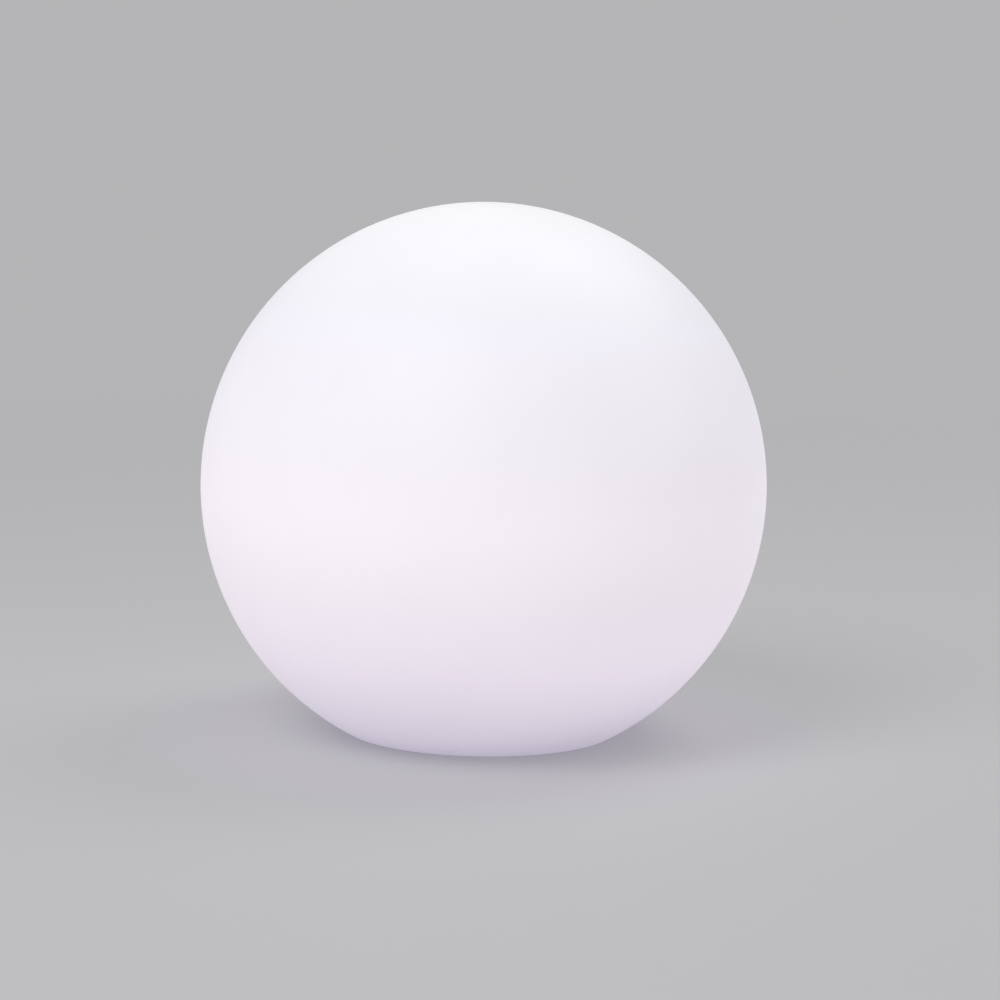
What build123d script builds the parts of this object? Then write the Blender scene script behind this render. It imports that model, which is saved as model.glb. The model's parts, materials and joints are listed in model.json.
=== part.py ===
from build123d import *
import os
from math import cos, hypot, pi, radians, sin, sqrt, tan

# Garden globe light: a hollow, translucent moulded globe that turns down onto a sealed,
# rechargeable light unit. The unit stands on its own rubber feet inside a recess in the globe's
# flat base. Four lugs on its barrel hold the collar that is screwed into the globe's neck.
#
# Millimetres, +Z up. The origin is on the ground, on the globe's axis. In the names below a
# "bottom" or a "top" is a height above the ground, a "circle" is the radius that a ring of
# screws, feet or lamps is centred on, and a "clearance" is a gap between two pieces.

# ------------------------------------------------------------------ driving dimensions

# Globe
globe_diameter = 280.0
globe_wall = 3.0
ground_clearance = 1.2
base_rim_width = 8.1
base_rim_thickness = 5.8
base_edge_radius = 1.2
recess_edge_radius = 0.8
boss_radius = 4.2
boss_height = 8.6
insert_wall = 0.75
insert_length = 6.0
insert_groove_width = 1.0
insert_groove_depth = 0.3

# Battery pack: its size sets the barrel, and the barrel sets the globe's neck
cell_diameter = 18.4
cell_length = 65.2
cell_spacing = 0.8
cell_clearance = 0.15
tab_thickness = 0.3
tray_wall = 1.6
tray_height = 11.0
tray_clearance = 1.4
tray_air = 0.8
tray_ear_x = 22.0
tray_ear_radius = 3.2
tray_ear_gap = 1.1
tray_ear_thickness = 3.0
cell_groove_at = 5.0
cell_groove_width = 1.4
cell_groove_depth = 0.6
tab_width = 5.0
tab_overhang = 3.0
plus_tongue_at = (-5.0, 2.0)
strip_width = 4.0
strip_clearance = 0.4
foam_thickness = 2.1
foam_wrap = 1.2
foam_length = 10.0
foam_width = 9.0
foam_spacing = 40.0
protection_width = 18.0
protection_thickness = 1.0
protection_rise = 7.5
protection_drop = 6.0
protection_chip = (1.2, 4.0, 3.0)
protection_chip_y = -6.0
terminal_length = 2.6
terminal_height = 2.4
terminal_gap = 0.4
terminal_drop = 3.0

# Light unit housing
foot_drop = 1.6
foot_radius = 5.5
foot_recess_depth = 1.2
foot_recess_clearance = 0.1
flange_thickness = 3.4
barrel_wall = 2.4
deck_thickness = 2.4
ledge_width = 3.8
ledge_thickness = 2.0
ledge_root = 0.5
cover_boss_radius = 3.4
standoff_radius = 2.6
pilot_end_wall = 1.0
ring_count = 4
ring_start = 45.0

# Quick thread between barrel and collar
lug_count = 4
thread_lead = 60.0
lug_span = 40.0
lug_height = 2.4
lug_root_thickness = 3.4
lug_tip_thickness = 2.4
lug_rest_clearance = 0.3
lug_side_clearance = 0.4
lug_root = 1.0
lug_rise = 10.3

# Collar in the globe's neck
collar_screw_count = 6
collar_wall = 3.4
collar_flange_width = 9.2
collar_flange_thickness = 3.4
collar_rim = 3.0
neck_clearance = 0.6
recess_clearance = 0.5
gasket_thickness = 1.0
gasket_inset = 0.3

# Seal between collar and light unit
seal_thickness = 1.8
seal_width = 2.2
seal_lip = 1.2
seal_clearance = 0.3
flange_gap = 0.8

# Bottom cover
cover_thickness = 3.0
cover_clearance = 0.25
cover_gasket_thickness = 1.0
cover_gasket_width = 2.4
cover_gasket_inset = 0.4
well_length = 32.0
well_width = 13.0
well_depth = 9.0
well_wall = 2.0
post_height = 4.6
post_radius = 2.8
cover_pad_radius = 3.0
cover_screw_inset = 2.8

# Control board and what is on it
board_length = 60.0
board_width = 24.0
board_thickness = 1.6
board_clearance = 0.8
board_hole_inset_x = 4.0
board_hole_inset_y = 3.5
board_corner_radius = 2.0
chips = (((2.0, -5.5), (5.0, 5.0, 0.9)), ((8.0, 6.5), (5.0, 4.0, 1.5)))
inductor_at = (-18.0, -3.0)
inductor_width = 6.0
inductor_corner_radius = 1.2
inductor_flange_thickness = 0.6
inductor_core_radius = 2.0
inductor_core_height = 1.8
capacitor_places = [(-9.0, -7.0), (-3.0, -7.0)]
capacitor_radius = 2.3
tall_part_height = 5.0
status_led_size = (1.6, 0.8, 0.6)
header_length = 6.5
header_width = 7.0
header_wall = 0.8
header_back = 1.2
header_roof = 0.5
header_inset = 1.0
battery_header_x = 18.0
plug_length = 8.0
plug_height = 2.8
plug_clearance = 0.15
plug_board_gap = 0.6
plug_well_gap = 0.4
wire_radius = 0.6
wire_bend = 4.6
wire_pair_spacing = 2.6
grommet_radius = 3.0
grommet_lip = 0.7
grommet_lip_thickness = 0.8
grommet_wire_clearance = 0.2
grommet_reach = 9.4

# Button and switch
button_radius = 5.5
button_travel = 0.7
button_recess = 0.4
button_clearance = 0.3
button_flange_width = 1.1
button_flange_thickness = 0.7
button_seal_width = 1.4
button_seal_thickness = 1.2
button_seal_clearance = 0.1
button_dish_radius = 18.0
button_dish_depth = 0.4
switch_width = 6.2
switch_clearance = 0.3
plunger_radius = 1.6
plunger_reach = 0.6

# Light pipe that shows the charge
pipe_at = -15.0
pipe_radius = 1.5
pipe_shoulder = 0.8
pipe_gap = 1.0

# Charge port
port_at = 19.0
socket_length = 9.0
socket_width = 3.3
socket_wall = 0.3
socket_mouth_depth = 2.3
socket_gap = 0.35
socket_core_height = 1.8
tongue_thickness = 0.7
tongue_depth = 0.6
tongue_clearance = 0.1
tongue_inset = 1.7
port_recess_depth = 1.6
port_recess_reach = 6.0
port_corner_radius = 1.5
flap_length = 11.4
flap_width = 13.4
flap_thickness = 1.3
flap_corner_radius = 1.3
flap_end_gap = 1.2
flap_bead_radius = 0.6
flap_web_length = 1.8
flap_web_thickness = 0.7
flap_web_inset = 1.5
flap_web_root = 0.5
flap_clearance = 0.3
flap_plug_clearance = 0.1
anchor_length = 4.2
anchor_clearance = 0.1
anchor_neck_radius = 1.2
anchor_head_radius = 2.0
anchor_head_height = 1.0
anchor_head_taper = 20.0

# Light source and dome
led_board_clearance = 0.3
led_board_thickness = 1.6
standoff_height = 1.0
led_rings = {9.0: 6, 19.5: 12}
led_length = 3.5
led_width = 2.8
led_thickness = 0.8
led_screw_length = 4.6
led_terminal_size = (6.0, 3.0, 2.8)
led_terminal_inset = 1.4
led_lead_rise = 1.6
dome_wall = 2.0
dome_flange_lip = 2.6
dome_flange_thickness = 2.0
dome_straight = 3.0
dome_screw_inset = 3.2
dome_boss_radius = 2.8
dome_gasket_inset = 1.0
ring_clearance = 0.35
ring_thickness = 2.6
ring_width = 7.4

# Screws: shank radius, head radius and length
big_screw = (1.5, 2.9, 9.0)
cover_screw = (1.25, 2.4, 8.0)
small_screw = (0.9, 1.7, 5.0)
dome_screw = (1.1, 2.0, 9.0)
countersink_angle = 82.0
screw_clearance = 0.2
thread_clearance = 0.05
drive_slot = 0.7
drive_depth = 0.9
pan_height_share = 0.7
pan_top_share = 0.6
pan_shoulder_share = 0.55
pan_slot_share = 0.8
screw_tip_share = 0.4
slot_over = 1.1
head_drop = 0.1

# Rounded and bevelled edges
large_edge = 1.2
medium_edge = 0.8
small_edge = 0.5
fine_edge = 0.3

# ------------------------------------------------------------------ sizes that follow

cell_radius = cell_diameter / 2
cell_at = (cell_diameter + cell_spacing) / 2
tray_inner_half_length = cell_length / 2 + tab_thickness + cell_clearance
tray_half_length = tray_inner_half_length + tray_wall
tray_half_width = cell_at + cell_radius + cell_clearance + tray_wall

# Radii, from the battery pack outwards
barrel_inner_radius = hypot(tray_half_length, tray_half_width) + tray_clearance
barrel_radius = barrel_inner_radius + barrel_wall
lug_radius = barrel_radius + lug_height
collar_inner_radius = lug_radius + lug_side_clearance
collar_radius = collar_inner_radius + collar_wall
flange_radius = collar_radius + collar_flange_width
recess_radius = flange_radius + recess_clearance
neck_radius = collar_radius + neck_clearance
base_radius = recess_radius + base_rim_width
collar_screw_circle = (neck_radius + recess_radius) / 2
foot_circle = (barrel_radius + flange_radius) / 2

# Heights, from the ground up
unit_bottom = foot_drop
flange_top = unit_bottom + flange_thickness
seal_bottom = flange_top + seal_clearance
seal_top = seal_bottom + seal_thickness
collar_bottom = flange_top + flange_gap
collar_flange_top = collar_bottom + collar_flange_thickness
recess_top = collar_flange_top + gasket_thickness
globe_floor = recess_top + globe_wall
lug_drop = lug_root_thickness + lug_rest_clearance
lug_start = collar_flange_top + lug_rise
lug_top = lug_start + thread_lead * lug_span / 360 + lug_root_thickness / 2
collar_top = lug_top + collar_rim

cover_top = unit_bottom + cover_thickness
ledge_bottom = cover_top + cover_gasket_thickness
well_top = unit_bottom + well_depth + well_wall
board_bottom = cover_top + post_height
board_top = board_bottom + board_thickness
plug_bottom = max(board_top + plug_board_gap, well_top + plug_well_gap)
header_top = plug_bottom + plug_height + header_roof
lead_height = plug_bottom + plug_height / 2
tray_bottom = max(board_top + tall_part_height, header_top) + tray_air
tray_top = tray_bottom + tray_height
cell_height = tray_bottom + tray_wall + cell_clearance + cell_radius
deck_bottom = cell_height + cell_radius + foam_thickness
deck_top = deck_bottom + deck_thickness
led_board_bottom = deck_top + standoff_height
led_board_top = led_board_bottom + led_board_thickness

dome_gasket_top = deck_top + gasket_thickness
dome_radius = barrel_radius - ring_width - ring_clearance
dome_flange_radius = dome_radius + dome_flange_lip
dome_flange_top = dome_gasket_top + dome_flange_thickness
dome_spring = dome_flange_top + dome_straight
ring_top = dome_flange_top + ring_thickness
dome_screw_circle = barrel_radius - dome_screw_inset

globe_radius = globe_diameter / 2
globe_inner_radius = globe_radius - globe_wall
globe_bottom = ground_clearance
globe_centre = globe_bottom + sqrt(globe_radius**2 - base_radius**2)

well_at = board_width / 2 + board_clearance + well_wall + well_width / 2
cover_radius = barrel_inner_radius - cover_clearance
cover_screw_circle = barrel_inner_radius - ledge_width - cover_screw_inset
board_hole_x = board_length / 2 - board_hole_inset_x
board_hole_y = board_width / 2 - board_hole_inset_y
board_holes = [(x, y) for x in (-board_hole_x, board_hole_x) for y in (-board_hole_y, board_hole_y)]
tray_ear_y = tray_half_width + tray_ear_radius + tray_ear_gap
tray_ears = [(x, y) for x in (-tray_ear_x, tray_ear_x) for y in (-tray_ear_y, tray_ear_y)]
led_screw_circle = sum(led_rings) / 2
grommet_y = tray_half_width + grommet_reach
led_board_radius = grommet_y - grommet_radius - grommet_lip - led_board_clearance

os.makedirs("parts", exist_ok=True)


# ------------------------------------------------------------------ shared shapes


def round_edges(builder, radius, height):
    """The builder's whole round edges of this radius at this height."""
    rings = builder.edges().filter_by(GeomType.CIRCLE)
    return [
        ring
        for ring in rings
        if abs(ring.radius - radius) < 0.01 and abs(ring.arc_center.Z - height) < 0.01
    ]


def flat_ring(outer, inner, bottom, thickness):
    """A flat washer about the axis."""
    with BuildPart() as ring:
        with BuildSketch(Plane.XY.offset(bottom)):
            Circle(outer)
            Circle(inner, mode=Mode.SUBTRACT)
        extrude(amount=thickness)
    return ring.part


def countersunk_screw(sizes):
    """A countersunk screw, its head's face at the origin and its shank along -Z."""
    shank, head, length = sizes
    cone = (head - shank) / tan(radians(countersink_angle / 2))
    with BuildPart() as screw:
        with BuildSketch(Plane.XZ):
            with BuildLine():
                Polyline(
                    (0, 0),
                    (head, 0),
                    (shank, -cone),
                    (shank, -length + shank),
                    (shank * screw_tip_share, -length),
                    (0, -length),
                    close=True,
                )
            make_face()
        revolve(axis=Axis.Z)
        for turn in (0, 90):
            with BuildSketch(Plane.XY):
                Rectangle(head * slot_over, drive_slot, rotation=turn)
            extrude(amount=-drive_depth, mode=Mode.SUBTRACT)
    return screw.part


def pan_screw(sizes):
    """A pan head screw, its head standing on the origin's plane and its shank along -Z."""
    shank, head, length = sizes
    head_height = head * pan_height_share
    with BuildPart() as screw:
        with BuildSketch(Plane.XZ):
            with BuildLine():
                Polyline(
                    (0, head_height),
                    (head * pan_top_share, head_height),
                    (head, head_height * pan_shoulder_share),
                    (head, 0),
                    (shank, 0),
                    (shank, -length + shank),
                    (shank * screw_tip_share, -length),
                    (0, -length),
                    close=True,
                )
            make_face()
        revolve(axis=Axis.Z)
        for turn in (0, 90):
            with BuildSketch(Plane.XY.offset(head_height)):
                Rectangle(head * slot_over, drive_slot * pan_slot_share, rotation=turn)
            extrude(amount=-head_height * pan_height_share, mode=Mode.SUBTRACT)
    return screw.part


def helical_lug(root, tip):
    """One thread lug, from its root radius to its tip radius, climbing anticlockwise from +X."""
    half_root = lug_root_thickness / 2
    half_tip = lug_tip_thickness / 2
    with BuildPart() as lug:
        with BuildLine() as climb:
            Helix(pitch=thread_lead, height=thread_lead * lug_span / 360, radius=(root + tip) / 2)
        with BuildSketch(Plane.XZ):
            with BuildLine():
                Polyline((root, -half_root), (tip, -half_tip), (tip, half_tip), (root, half_root), close=True)
            make_face()
        sweep(path=climb.line, is_frenet=True)
    return lug.part


def wire(points):
    """An insulated lead along straight runs joined by tangent arcs."""
    with BuildPart() as lead:
        with BuildLine() as route:
            FilletPolyline(*points, radius=[wire_bend] * (len(points) - 2))
        start = Vector(*points[0])
        along = Vector(*points[1]) - start
        with BuildSketch(Plane(origin=start, z_dir=along)):
            Circle(wire_radius)
        sweep(path=route.line)
    return lead.part


# ------------------------------------------------------------------ globe

insert_radius = big_screw[0] + insert_wall
pocket_floor = globe_bottom + base_rim_thickness
pocket_radius = sqrt(globe_inner_radius**2 - (globe_centre - pocket_floor) ** 2)
rim_wall_radius = recess_radius + globe_wall

with BuildPart() as globe_shell:
    with BuildSketch(Plane.XZ):
        with BuildLine():
            Line((recess_radius, globe_bottom), (base_radius, globe_bottom))
            ThreePointArc(
                (base_radius, globe_bottom),
                (globe_radius, globe_centre),
                (0, globe_centre + globe_radius),
            )
            Line((0, globe_centre + globe_radius), (0, globe_centre + globe_inner_radius))
            ThreePointArc(
                (0, globe_centre + globe_inner_radius),
                (globe_inner_radius, globe_centre),
                (pocket_radius, pocket_floor),
            )
            Polyline(
                (pocket_radius, pocket_floor),
                (rim_wall_radius, pocket_floor),
                (rim_wall_radius, globe_floor),
                (neck_radius, globe_floor),
                (neck_radius, recess_top),
                (recess_radius, recess_top),
                (recess_radius, globe_bottom),
            )
        make_face()
    revolve(axis=Axis.Z)
    fillet(round_edges(globe_shell, base_radius, globe_bottom), base_edge_radius)
    fillet(round_edges(globe_shell, recess_radius, globe_bottom), recess_edge_radius)
    # Bosses for the brass inserts, standing on the floor round the neck
    with BuildSketch(Plane.XY.offset(recess_top)):
        with PolarLocations(collar_screw_circle, collar_screw_count):
            Circle(boss_radius)
    extrude(amount=globe_wall + boss_height)
    with BuildSketch(Plane.XY.offset(recess_top)):
        with PolarLocations(collar_screw_circle, collar_screw_count):
            Circle(insert_radius)
    extrude(amount=big_screw[2], mode=Mode.SUBTRACT)
globe_shell.part.label = "globe_shell"
export_step(globe_shell.part, "parts/globe_shell.step")

with BuildPart() as collar_inserts:
    with BuildSketch(Plane.XY.offset(recess_top)):
        with PolarLocations(collar_screw_circle, collar_screw_count):
            Circle(insert_radius)
            Circle(big_screw[0] + thread_clearance, mode=Mode.SUBTRACT)
    extrude(amount=insert_length)
    # A groove round each insert keeps it in the plastic
    with BuildSketch(Plane.XY.offset(recess_top + (insert_length - insert_groove_width) / 2)):
        with PolarLocations(collar_screw_circle, collar_screw_count):
            Circle(insert_radius + insert_wall)
            Circle(insert_radius - insert_groove_depth, mode=Mode.SUBTRACT)
    extrude(amount=insert_groove_width, mode=Mode.SUBTRACT)
collar_inserts.part.label = "collar_inserts"
export_step(collar_inserts.part, "parts/collar_inserts.step")

# ------------------------------------------------------------------ collar in the neck

groove_radius = collar_inner_radius + seal_lip
seal_inner_radius = groove_radius + seal_clearance
seal_radius = seal_inner_radius + seal_width
groove_depth = seal_top + seal_clearance - collar_bottom

with BuildPart() as neck_collar:
    with BuildSketch(Plane.XY.offset(collar_bottom)):
        Circle(flange_radius)
        Circle(collar_inner_radius, mode=Mode.SUBTRACT)
    extrude(amount=collar_flange_thickness)
    with BuildSketch(Plane.XY.offset(collar_flange_top)):
        Circle(collar_radius)
        Circle(collar_inner_radius, mode=Mode.SUBTRACT)
    extrude(amount=collar_top - collar_flange_top)
    fillet(round_edges(neck_collar, flange_radius, collar_bottom), medium_edge)
    fillet(round_edges(neck_collar, collar_radius, collar_top), large_edge)
    chamfer(round_edges(neck_collar, collar_inner_radius, collar_top), medium_edge)
    # Groove for the seal
    with BuildSketch(Plane.XY.offset(collar_bottom)):
        Circle(seal_radius + seal_clearance)
        Circle(groove_radius, mode=Mode.SUBTRACT)
    extrude(amount=groove_depth, mode=Mode.SUBTRACT)
    with Locations(Location((0, 0, collar_bottom), (180, 0, 0))):
        with PolarLocations(collar_screw_circle, collar_screw_count):
            CounterSinkHole(
                big_screw[0] + screw_clearance,
                big_screw[1] + screw_clearance,
                counter_sink_angle=countersink_angle,
            )
    # Four lugs inside, which catch under the barrel's lugs
    collar_lug = helical_lug(collar_inner_radius + lug_root, barrel_radius + lug_side_clearance)
    with Locations((0, 0, lug_start - lug_drop)):
        with PolarLocations(0, lug_count):
            add(collar_lug)
neck_collar.part.label = "neck_collar"
export_step(neck_collar.part, "parts/neck_collar.step")

with BuildPart() as collar_gasket:
    with BuildSketch(Plane.XY.offset(collar_flange_top)):
        Circle(flange_radius - gasket_inset)
        Circle(neck_radius, mode=Mode.SUBTRACT)
        with PolarLocations(collar_screw_circle, collar_screw_count):
            Circle(big_screw[0] + screw_clearance, mode=Mode.SUBTRACT)
    extrude(amount=gasket_thickness)
collar_gasket.part.label = "collar_gasket"
export_step(collar_gasket.part, "parts/collar_gasket.step")

with BuildPart() as collar_screws:
    with Locations(Location((0, 0, collar_bottom + head_drop), (180, 0, 0))):
        with PolarLocations(collar_screw_circle, collar_screw_count):
            add(countersunk_screw(big_screw))
collar_screws.part.label = "collar_screws"
export_step(collar_screws.part, "parts/collar_screws.step")

with BuildPart() as collar_seal:
    with BuildSketch(Plane.XY.offset(seal_bottom)):
        Circle(seal_radius)
        Circle(seal_inner_radius, mode=Mode.SUBTRACT)
    extrude(amount=seal_thickness)
    fillet(round_edges(collar_seal, seal_radius, seal_bottom), small_edge)
    fillet(round_edges(collar_seal, seal_inner_radius, seal_bottom), small_edge)
collar_seal.part.label = "collar_seal"
export_step(collar_seal.part, "parts/collar_seal.step")

# ------------------------------------------------------------------ light unit housing

cover_boss_top = ledge_bottom + cover_screw[2]
dome_pilot = dome_screw[0] + thread_clearance
cover_pilot = cover_screw[0] + thread_clearance
small_pilot = small_screw[0] + thread_clearance

with BuildPart() as unit_housing:
    with BuildSketch(Plane.XY.offset(unit_bottom)):
        Circle(flange_radius)
        Circle(barrel_inner_radius, mode=Mode.SUBTRACT)
    extrude(amount=flange_thickness)
    fillet(round_edges(unit_housing, flange_radius, unit_bottom), small_edge)
    fillet(round_edges(unit_housing, flange_radius, flange_top), medium_edge)
    with BuildSketch(Plane.XY.offset(unit_bottom)):
        Circle(barrel_radius)
        Circle(barrel_inner_radius, mode=Mode.SUBTRACT)
    extrude(amount=deck_top - unit_bottom)
    with BuildSketch(Plane.XY.offset(deck_bottom)):
        Circle(barrel_radius)
    extrude(amount=deck_thickness)
    fillet(round_edges(unit_housing, barrel_radius, deck_top), small_edge)
    # Ledge that the cover's gasket presses on, and the bosses for the cover's screws
    with BuildSketch(Plane.XY.offset(ledge_bottom)):
        Circle(barrel_inner_radius + ledge_root)
        Circle(barrel_inner_radius - ledge_width, mode=Mode.SUBTRACT)
    extrude(amount=ledge_thickness)
    with BuildSketch(Plane.XY.offset(ledge_bottom)):
        with PolarLocations(cover_screw_circle, ring_count, ring_start):
            Circle(cover_boss_radius)
    extrude(amount=cover_boss_top - ledge_bottom)
    # Bosses under the deck, for the dome ring's screws and for the battery tray's
    with BuildSketch(Plane.XY.offset(deck_bottom)):
        with PolarLocations(dome_screw_circle, ring_count, ring_start):
            Circle(dome_boss_radius)
    extrude(amount=deck_thickness - dome_screw[2])
    with BuildSketch(Plane.XY.offset(deck_bottom)):
        with Locations(*tray_ears):
            Circle(tray_ear_radius)
    extrude(amount=tray_top - deck_bottom)
    # Standoffs for the LED board
    with BuildSketch(Plane.XY.offset(deck_top)):
        with PolarLocations(led_screw_circle, ring_count, ring_start):
            Circle(standoff_radius)
    extrude(amount=standoff_height)
    # Four lugs round the barrel
    with Locations((0, 0, lug_start)):
        with PolarLocations(0, lug_count):
            add(helical_lug(barrel_radius - lug_root, lug_radius))
    # Pilot holes
    with BuildSketch(Plane.XY.offset(ledge_bottom)):
        with PolarLocations(cover_screw_circle, ring_count, ring_start):
            Circle(cover_pilot)
    extrude(amount=cover_screw[2] - pilot_end_wall, mode=Mode.SUBTRACT)
    with BuildSketch(Plane.XY.offset(deck_top)):
        with PolarLocations(dome_screw_circle, ring_count, ring_start):
            Circle(dome_pilot)
    extrude(amount=pilot_end_wall - dome_screw[2], mode=Mode.SUBTRACT)
    with BuildSketch(Plane.XY.offset(tray_top)):
        with Locations(*tray_ears):
            Circle(cover_pilot)
    extrude(amount=cover_screw[2], mode=Mode.SUBTRACT)
    with BuildSketch(Plane.XY.offset(led_board_bottom)):
        with PolarLocations(led_screw_circle, ring_count, ring_start):
            Circle(small_pilot)
    extrude(amount=-deck_thickness - standoff_height, mode=Mode.SUBTRACT)
    # Hole for the wire grommet
    with BuildSketch(Plane.XY.offset(deck_bottom)):
        with Locations((0, grommet_y)):
            Circle(grommet_radius)
    extrude(amount=deck_thickness, mode=Mode.SUBTRACT)
    # Recesses for the foot pads
    with BuildSketch(Plane.XY.offset(unit_bottom)):
        with PolarLocations(foot_circle, ring_count, ring_start):
            Circle(foot_radius + foot_recess_clearance)
    extrude(amount=foot_recess_depth, mode=Mode.SUBTRACT)
unit_housing.part.label = "unit_housing"
export_step(unit_housing.part, "parts/unit_housing.step")

with BuildPart() as foot_pads:
    with BuildSketch():
        with PolarLocations(foot_circle, ring_count, ring_start):
            Circle(foot_radius)
    extrude(amount=foot_drop + foot_recess_depth)
    fillet(foot_pads.edges().filter_by(GeomType.CIRCLE).group_by(Axis.Z)[0], small_edge)
foot_pads.part.label = "foot_pads"
export_step(foot_pads.part, "parts/foot_pads.step")

# ------------------------------------------------------------------ bottom cover

button_hole_radius = button_radius + button_clearance
button_seal_radius = button_hole_radius + button_seal_width
recess_start = port_at - port_recess_reach
hinge_at = recess_start + flap_length + flap_end_gap
anchor_start = hinge_at + flap_bead_radius + flap_clearance
anchor_at = anchor_start + anchor_length / 2
recess_end = anchor_start + anchor_length + anchor_clearance
port_recess_width = flap_width + 2 * flap_clearance

with BuildPart() as bottom_cover:
    with BuildSketch(Plane.XY.offset(unit_bottom)):
        Circle(cover_radius)
    extrude(amount=cover_thickness)
    chamfer(round_edges(bottom_cover, cover_radius, unit_bottom), fine_edge)
    # Two finger wells make a bar across the middle to turn the unit by
    with BuildSketch(Plane.XY.offset(unit_bottom)):
        with Locations((0, -well_at), (0, well_at)):
            SlotOverall(well_length + 2 * well_wall, well_width + 2 * well_wall)
    extrude(amount=well_depth + well_wall)
    with BuildSketch(Plane.XY.offset(unit_bottom)):
        with Locations((0, -well_at), (0, well_at)):
            SlotOverall(well_length, well_width)
    extrude(amount=well_depth, mode=Mode.SUBTRACT)
    # Posts for the control board and pads round the screws
    with BuildSketch(Plane.XY.offset(cover_top)):
        with Locations(*board_holes):
            Circle(post_radius)
    extrude(amount=post_height)
    with BuildSketch(Plane.XY.offset(cover_top)):
        with PolarLocations(cover_screw_circle, ring_count, ring_start):
            Circle(cover_pad_radius)
    extrude(amount=cover_gasket_thickness)
    with BuildSketch(Plane.XY.offset(board_bottom)):
        with Locations(*board_holes):
            Circle(small_pilot)
    extrude(amount=-post_height, mode=Mode.SUBTRACT)
    with Locations(Location((0, 0, unit_bottom), (180, 0, 0))):
        with PolarLocations(cover_screw_circle, ring_count, ring_start):
            CounterSinkHole(
                cover_screw[0] + screw_clearance,
                cover_screw[1] + screw_clearance,
                counter_sink_angle=countersink_angle,
            )
    # Button hole, stepped for the button's seal
    with BuildSketch(Plane.XY.offset(unit_bottom)):
        Circle(button_hole_radius)
    extrude(amount=cover_thickness, mode=Mode.SUBTRACT)
    with BuildSketch(Plane.XY.offset(cover_top)):
        Circle(button_seal_radius + button_seal_clearance)
    extrude(amount=-button_seal_thickness, mode=Mode.SUBTRACT)
    # Hole for the light pipe
    with BuildSketch(Plane.XY.offset(unit_bottom)):
        with Locations((pipe_at, 0)):
            Circle(pipe_radius + thread_clearance)
    extrude(amount=cover_thickness, mode=Mode.SUBTRACT)
    # Recess for the flap, and the charge socket's window in its floor
    with BuildSketch(Plane.XY.offset(unit_bottom)):
        with Locations(((recess_start + recess_end) / 2, 0)):
            RectangleRounded(recess_end - recess_start, port_recess_width, port_corner_radius)
    extrude(amount=port_recess_depth, mode=Mode.SUBTRACT)
    with BuildSketch(Plane.XY.offset(unit_bottom)):
        with Locations((port_at, 0)):
            SlotOverall(socket_length + 2 * socket_gap, socket_width + 2 * socket_gap, rotation=90)
        with Locations((anchor_at, 0)):
            Circle(anchor_neck_radius + thread_clearance)
    extrude(amount=cover_thickness, mode=Mode.SUBTRACT)
bottom_cover.part.label = "bottom_cover"
export_step(bottom_cover.part, "parts/bottom_cover.step")

gasket_outer = barrel_inner_radius - cover_gasket_inset
cover_gasket = flat_ring(gasket_outer, gasket_outer - cover_gasket_width, cover_top, cover_gasket_thickness)
cover_gasket.label = "cover_gasket"
export_step(cover_gasket, "parts/cover_gasket.step")

with BuildPart() as cover_screws:
    with Locations(Location((0, 0, unit_bottom + head_drop), (180, 0, 0))):
        with PolarLocations(cover_screw_circle, ring_count, ring_start):
            add(countersunk_screw(cover_screw))
cover_screws.part.label = "cover_screws"
export_step(cover_screws.part, "parts/cover_screws.step")

with BuildPart() as charge_indicator:
    with BuildSketch(Plane.XY.offset(unit_bottom)):
        with Locations((pipe_at, 0)):
            Circle(pipe_radius)
    extrude(amount=cover_thickness)
    with BuildSketch(Plane.XY.offset(cover_top)):
        with Locations((pipe_at, 0)):
            Circle(pipe_radius + pipe_shoulder)
    extrude(amount=post_height - pipe_gap)
charge_indicator.part.label = "charge_indicator"
export_step(charge_indicator.part, "parts/charge_indicator.step")

# ------------------------------------------------------------------ power button

button_bottom = unit_bottom + button_recess
button_flange_bottom = cover_top + button_clearance
button_top = button_flange_bottom + button_flange_thickness
switch_bottom = button_top + button_travel + switch_clearance
plunger_top = switch_bottom + plunger_reach

with BuildPart() as power_button:
    with BuildSketch(Plane.XY.offset(button_bottom)):
        Circle(button_radius)
    extrude(amount=button_top - button_bottom)
    with BuildSketch(Plane.XY.offset(button_flange_bottom)):
        Circle(button_radius + button_flange_width)
    extrude(amount=button_flange_thickness)
    fillet(round_edges(power_button, button_radius, button_bottom), small_edge)
    # A shallow dish for the fingertip
    with Locations((0, 0, button_bottom + button_dish_depth - button_dish_radius)):
        Sphere(button_dish_radius, mode=Mode.SUBTRACT)
power_button.part.label = "power_button"
export_step(power_button.part, "parts/power_button.step")

button_seal = flat_ring(
    button_seal_radius,
    button_hole_radius,
    cover_top - button_seal_thickness,
    button_seal_thickness,
)
button_seal.label = "button_seal"
export_step(button_seal, "parts/button_seal.step")

with BuildPart() as switch_plunger:
    with BuildSketch(Plane.XY.offset(button_top)):
        Circle(plunger_radius)
    extrude(amount=plunger_top - button_top)
switch_plunger.part.label = "switch_plunger"
export_step(switch_plunger.part, "parts/switch_plunger.step")

with BuildPart() as switch_body:
    with BuildSketch(Plane.XY.offset(switch_bottom)):
        Rectangle(switch_width, switch_width)
    extrude(amount=board_bottom - switch_bottom)
    fillet(switch_body.edges().filter_by(Axis.Z), small_edge)
    with BuildSketch(Plane.XY.offset(switch_bottom)):
        Circle(plunger_radius + switch_clearance)
    extrude(amount=plunger_reach + button_travel + switch_clearance, mode=Mode.SUBTRACT)
switch_body.part.label = "switch_body"
export_step(switch_body.part, "parts/switch_body.step")

# ------------------------------------------------------------------ charge port

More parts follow.
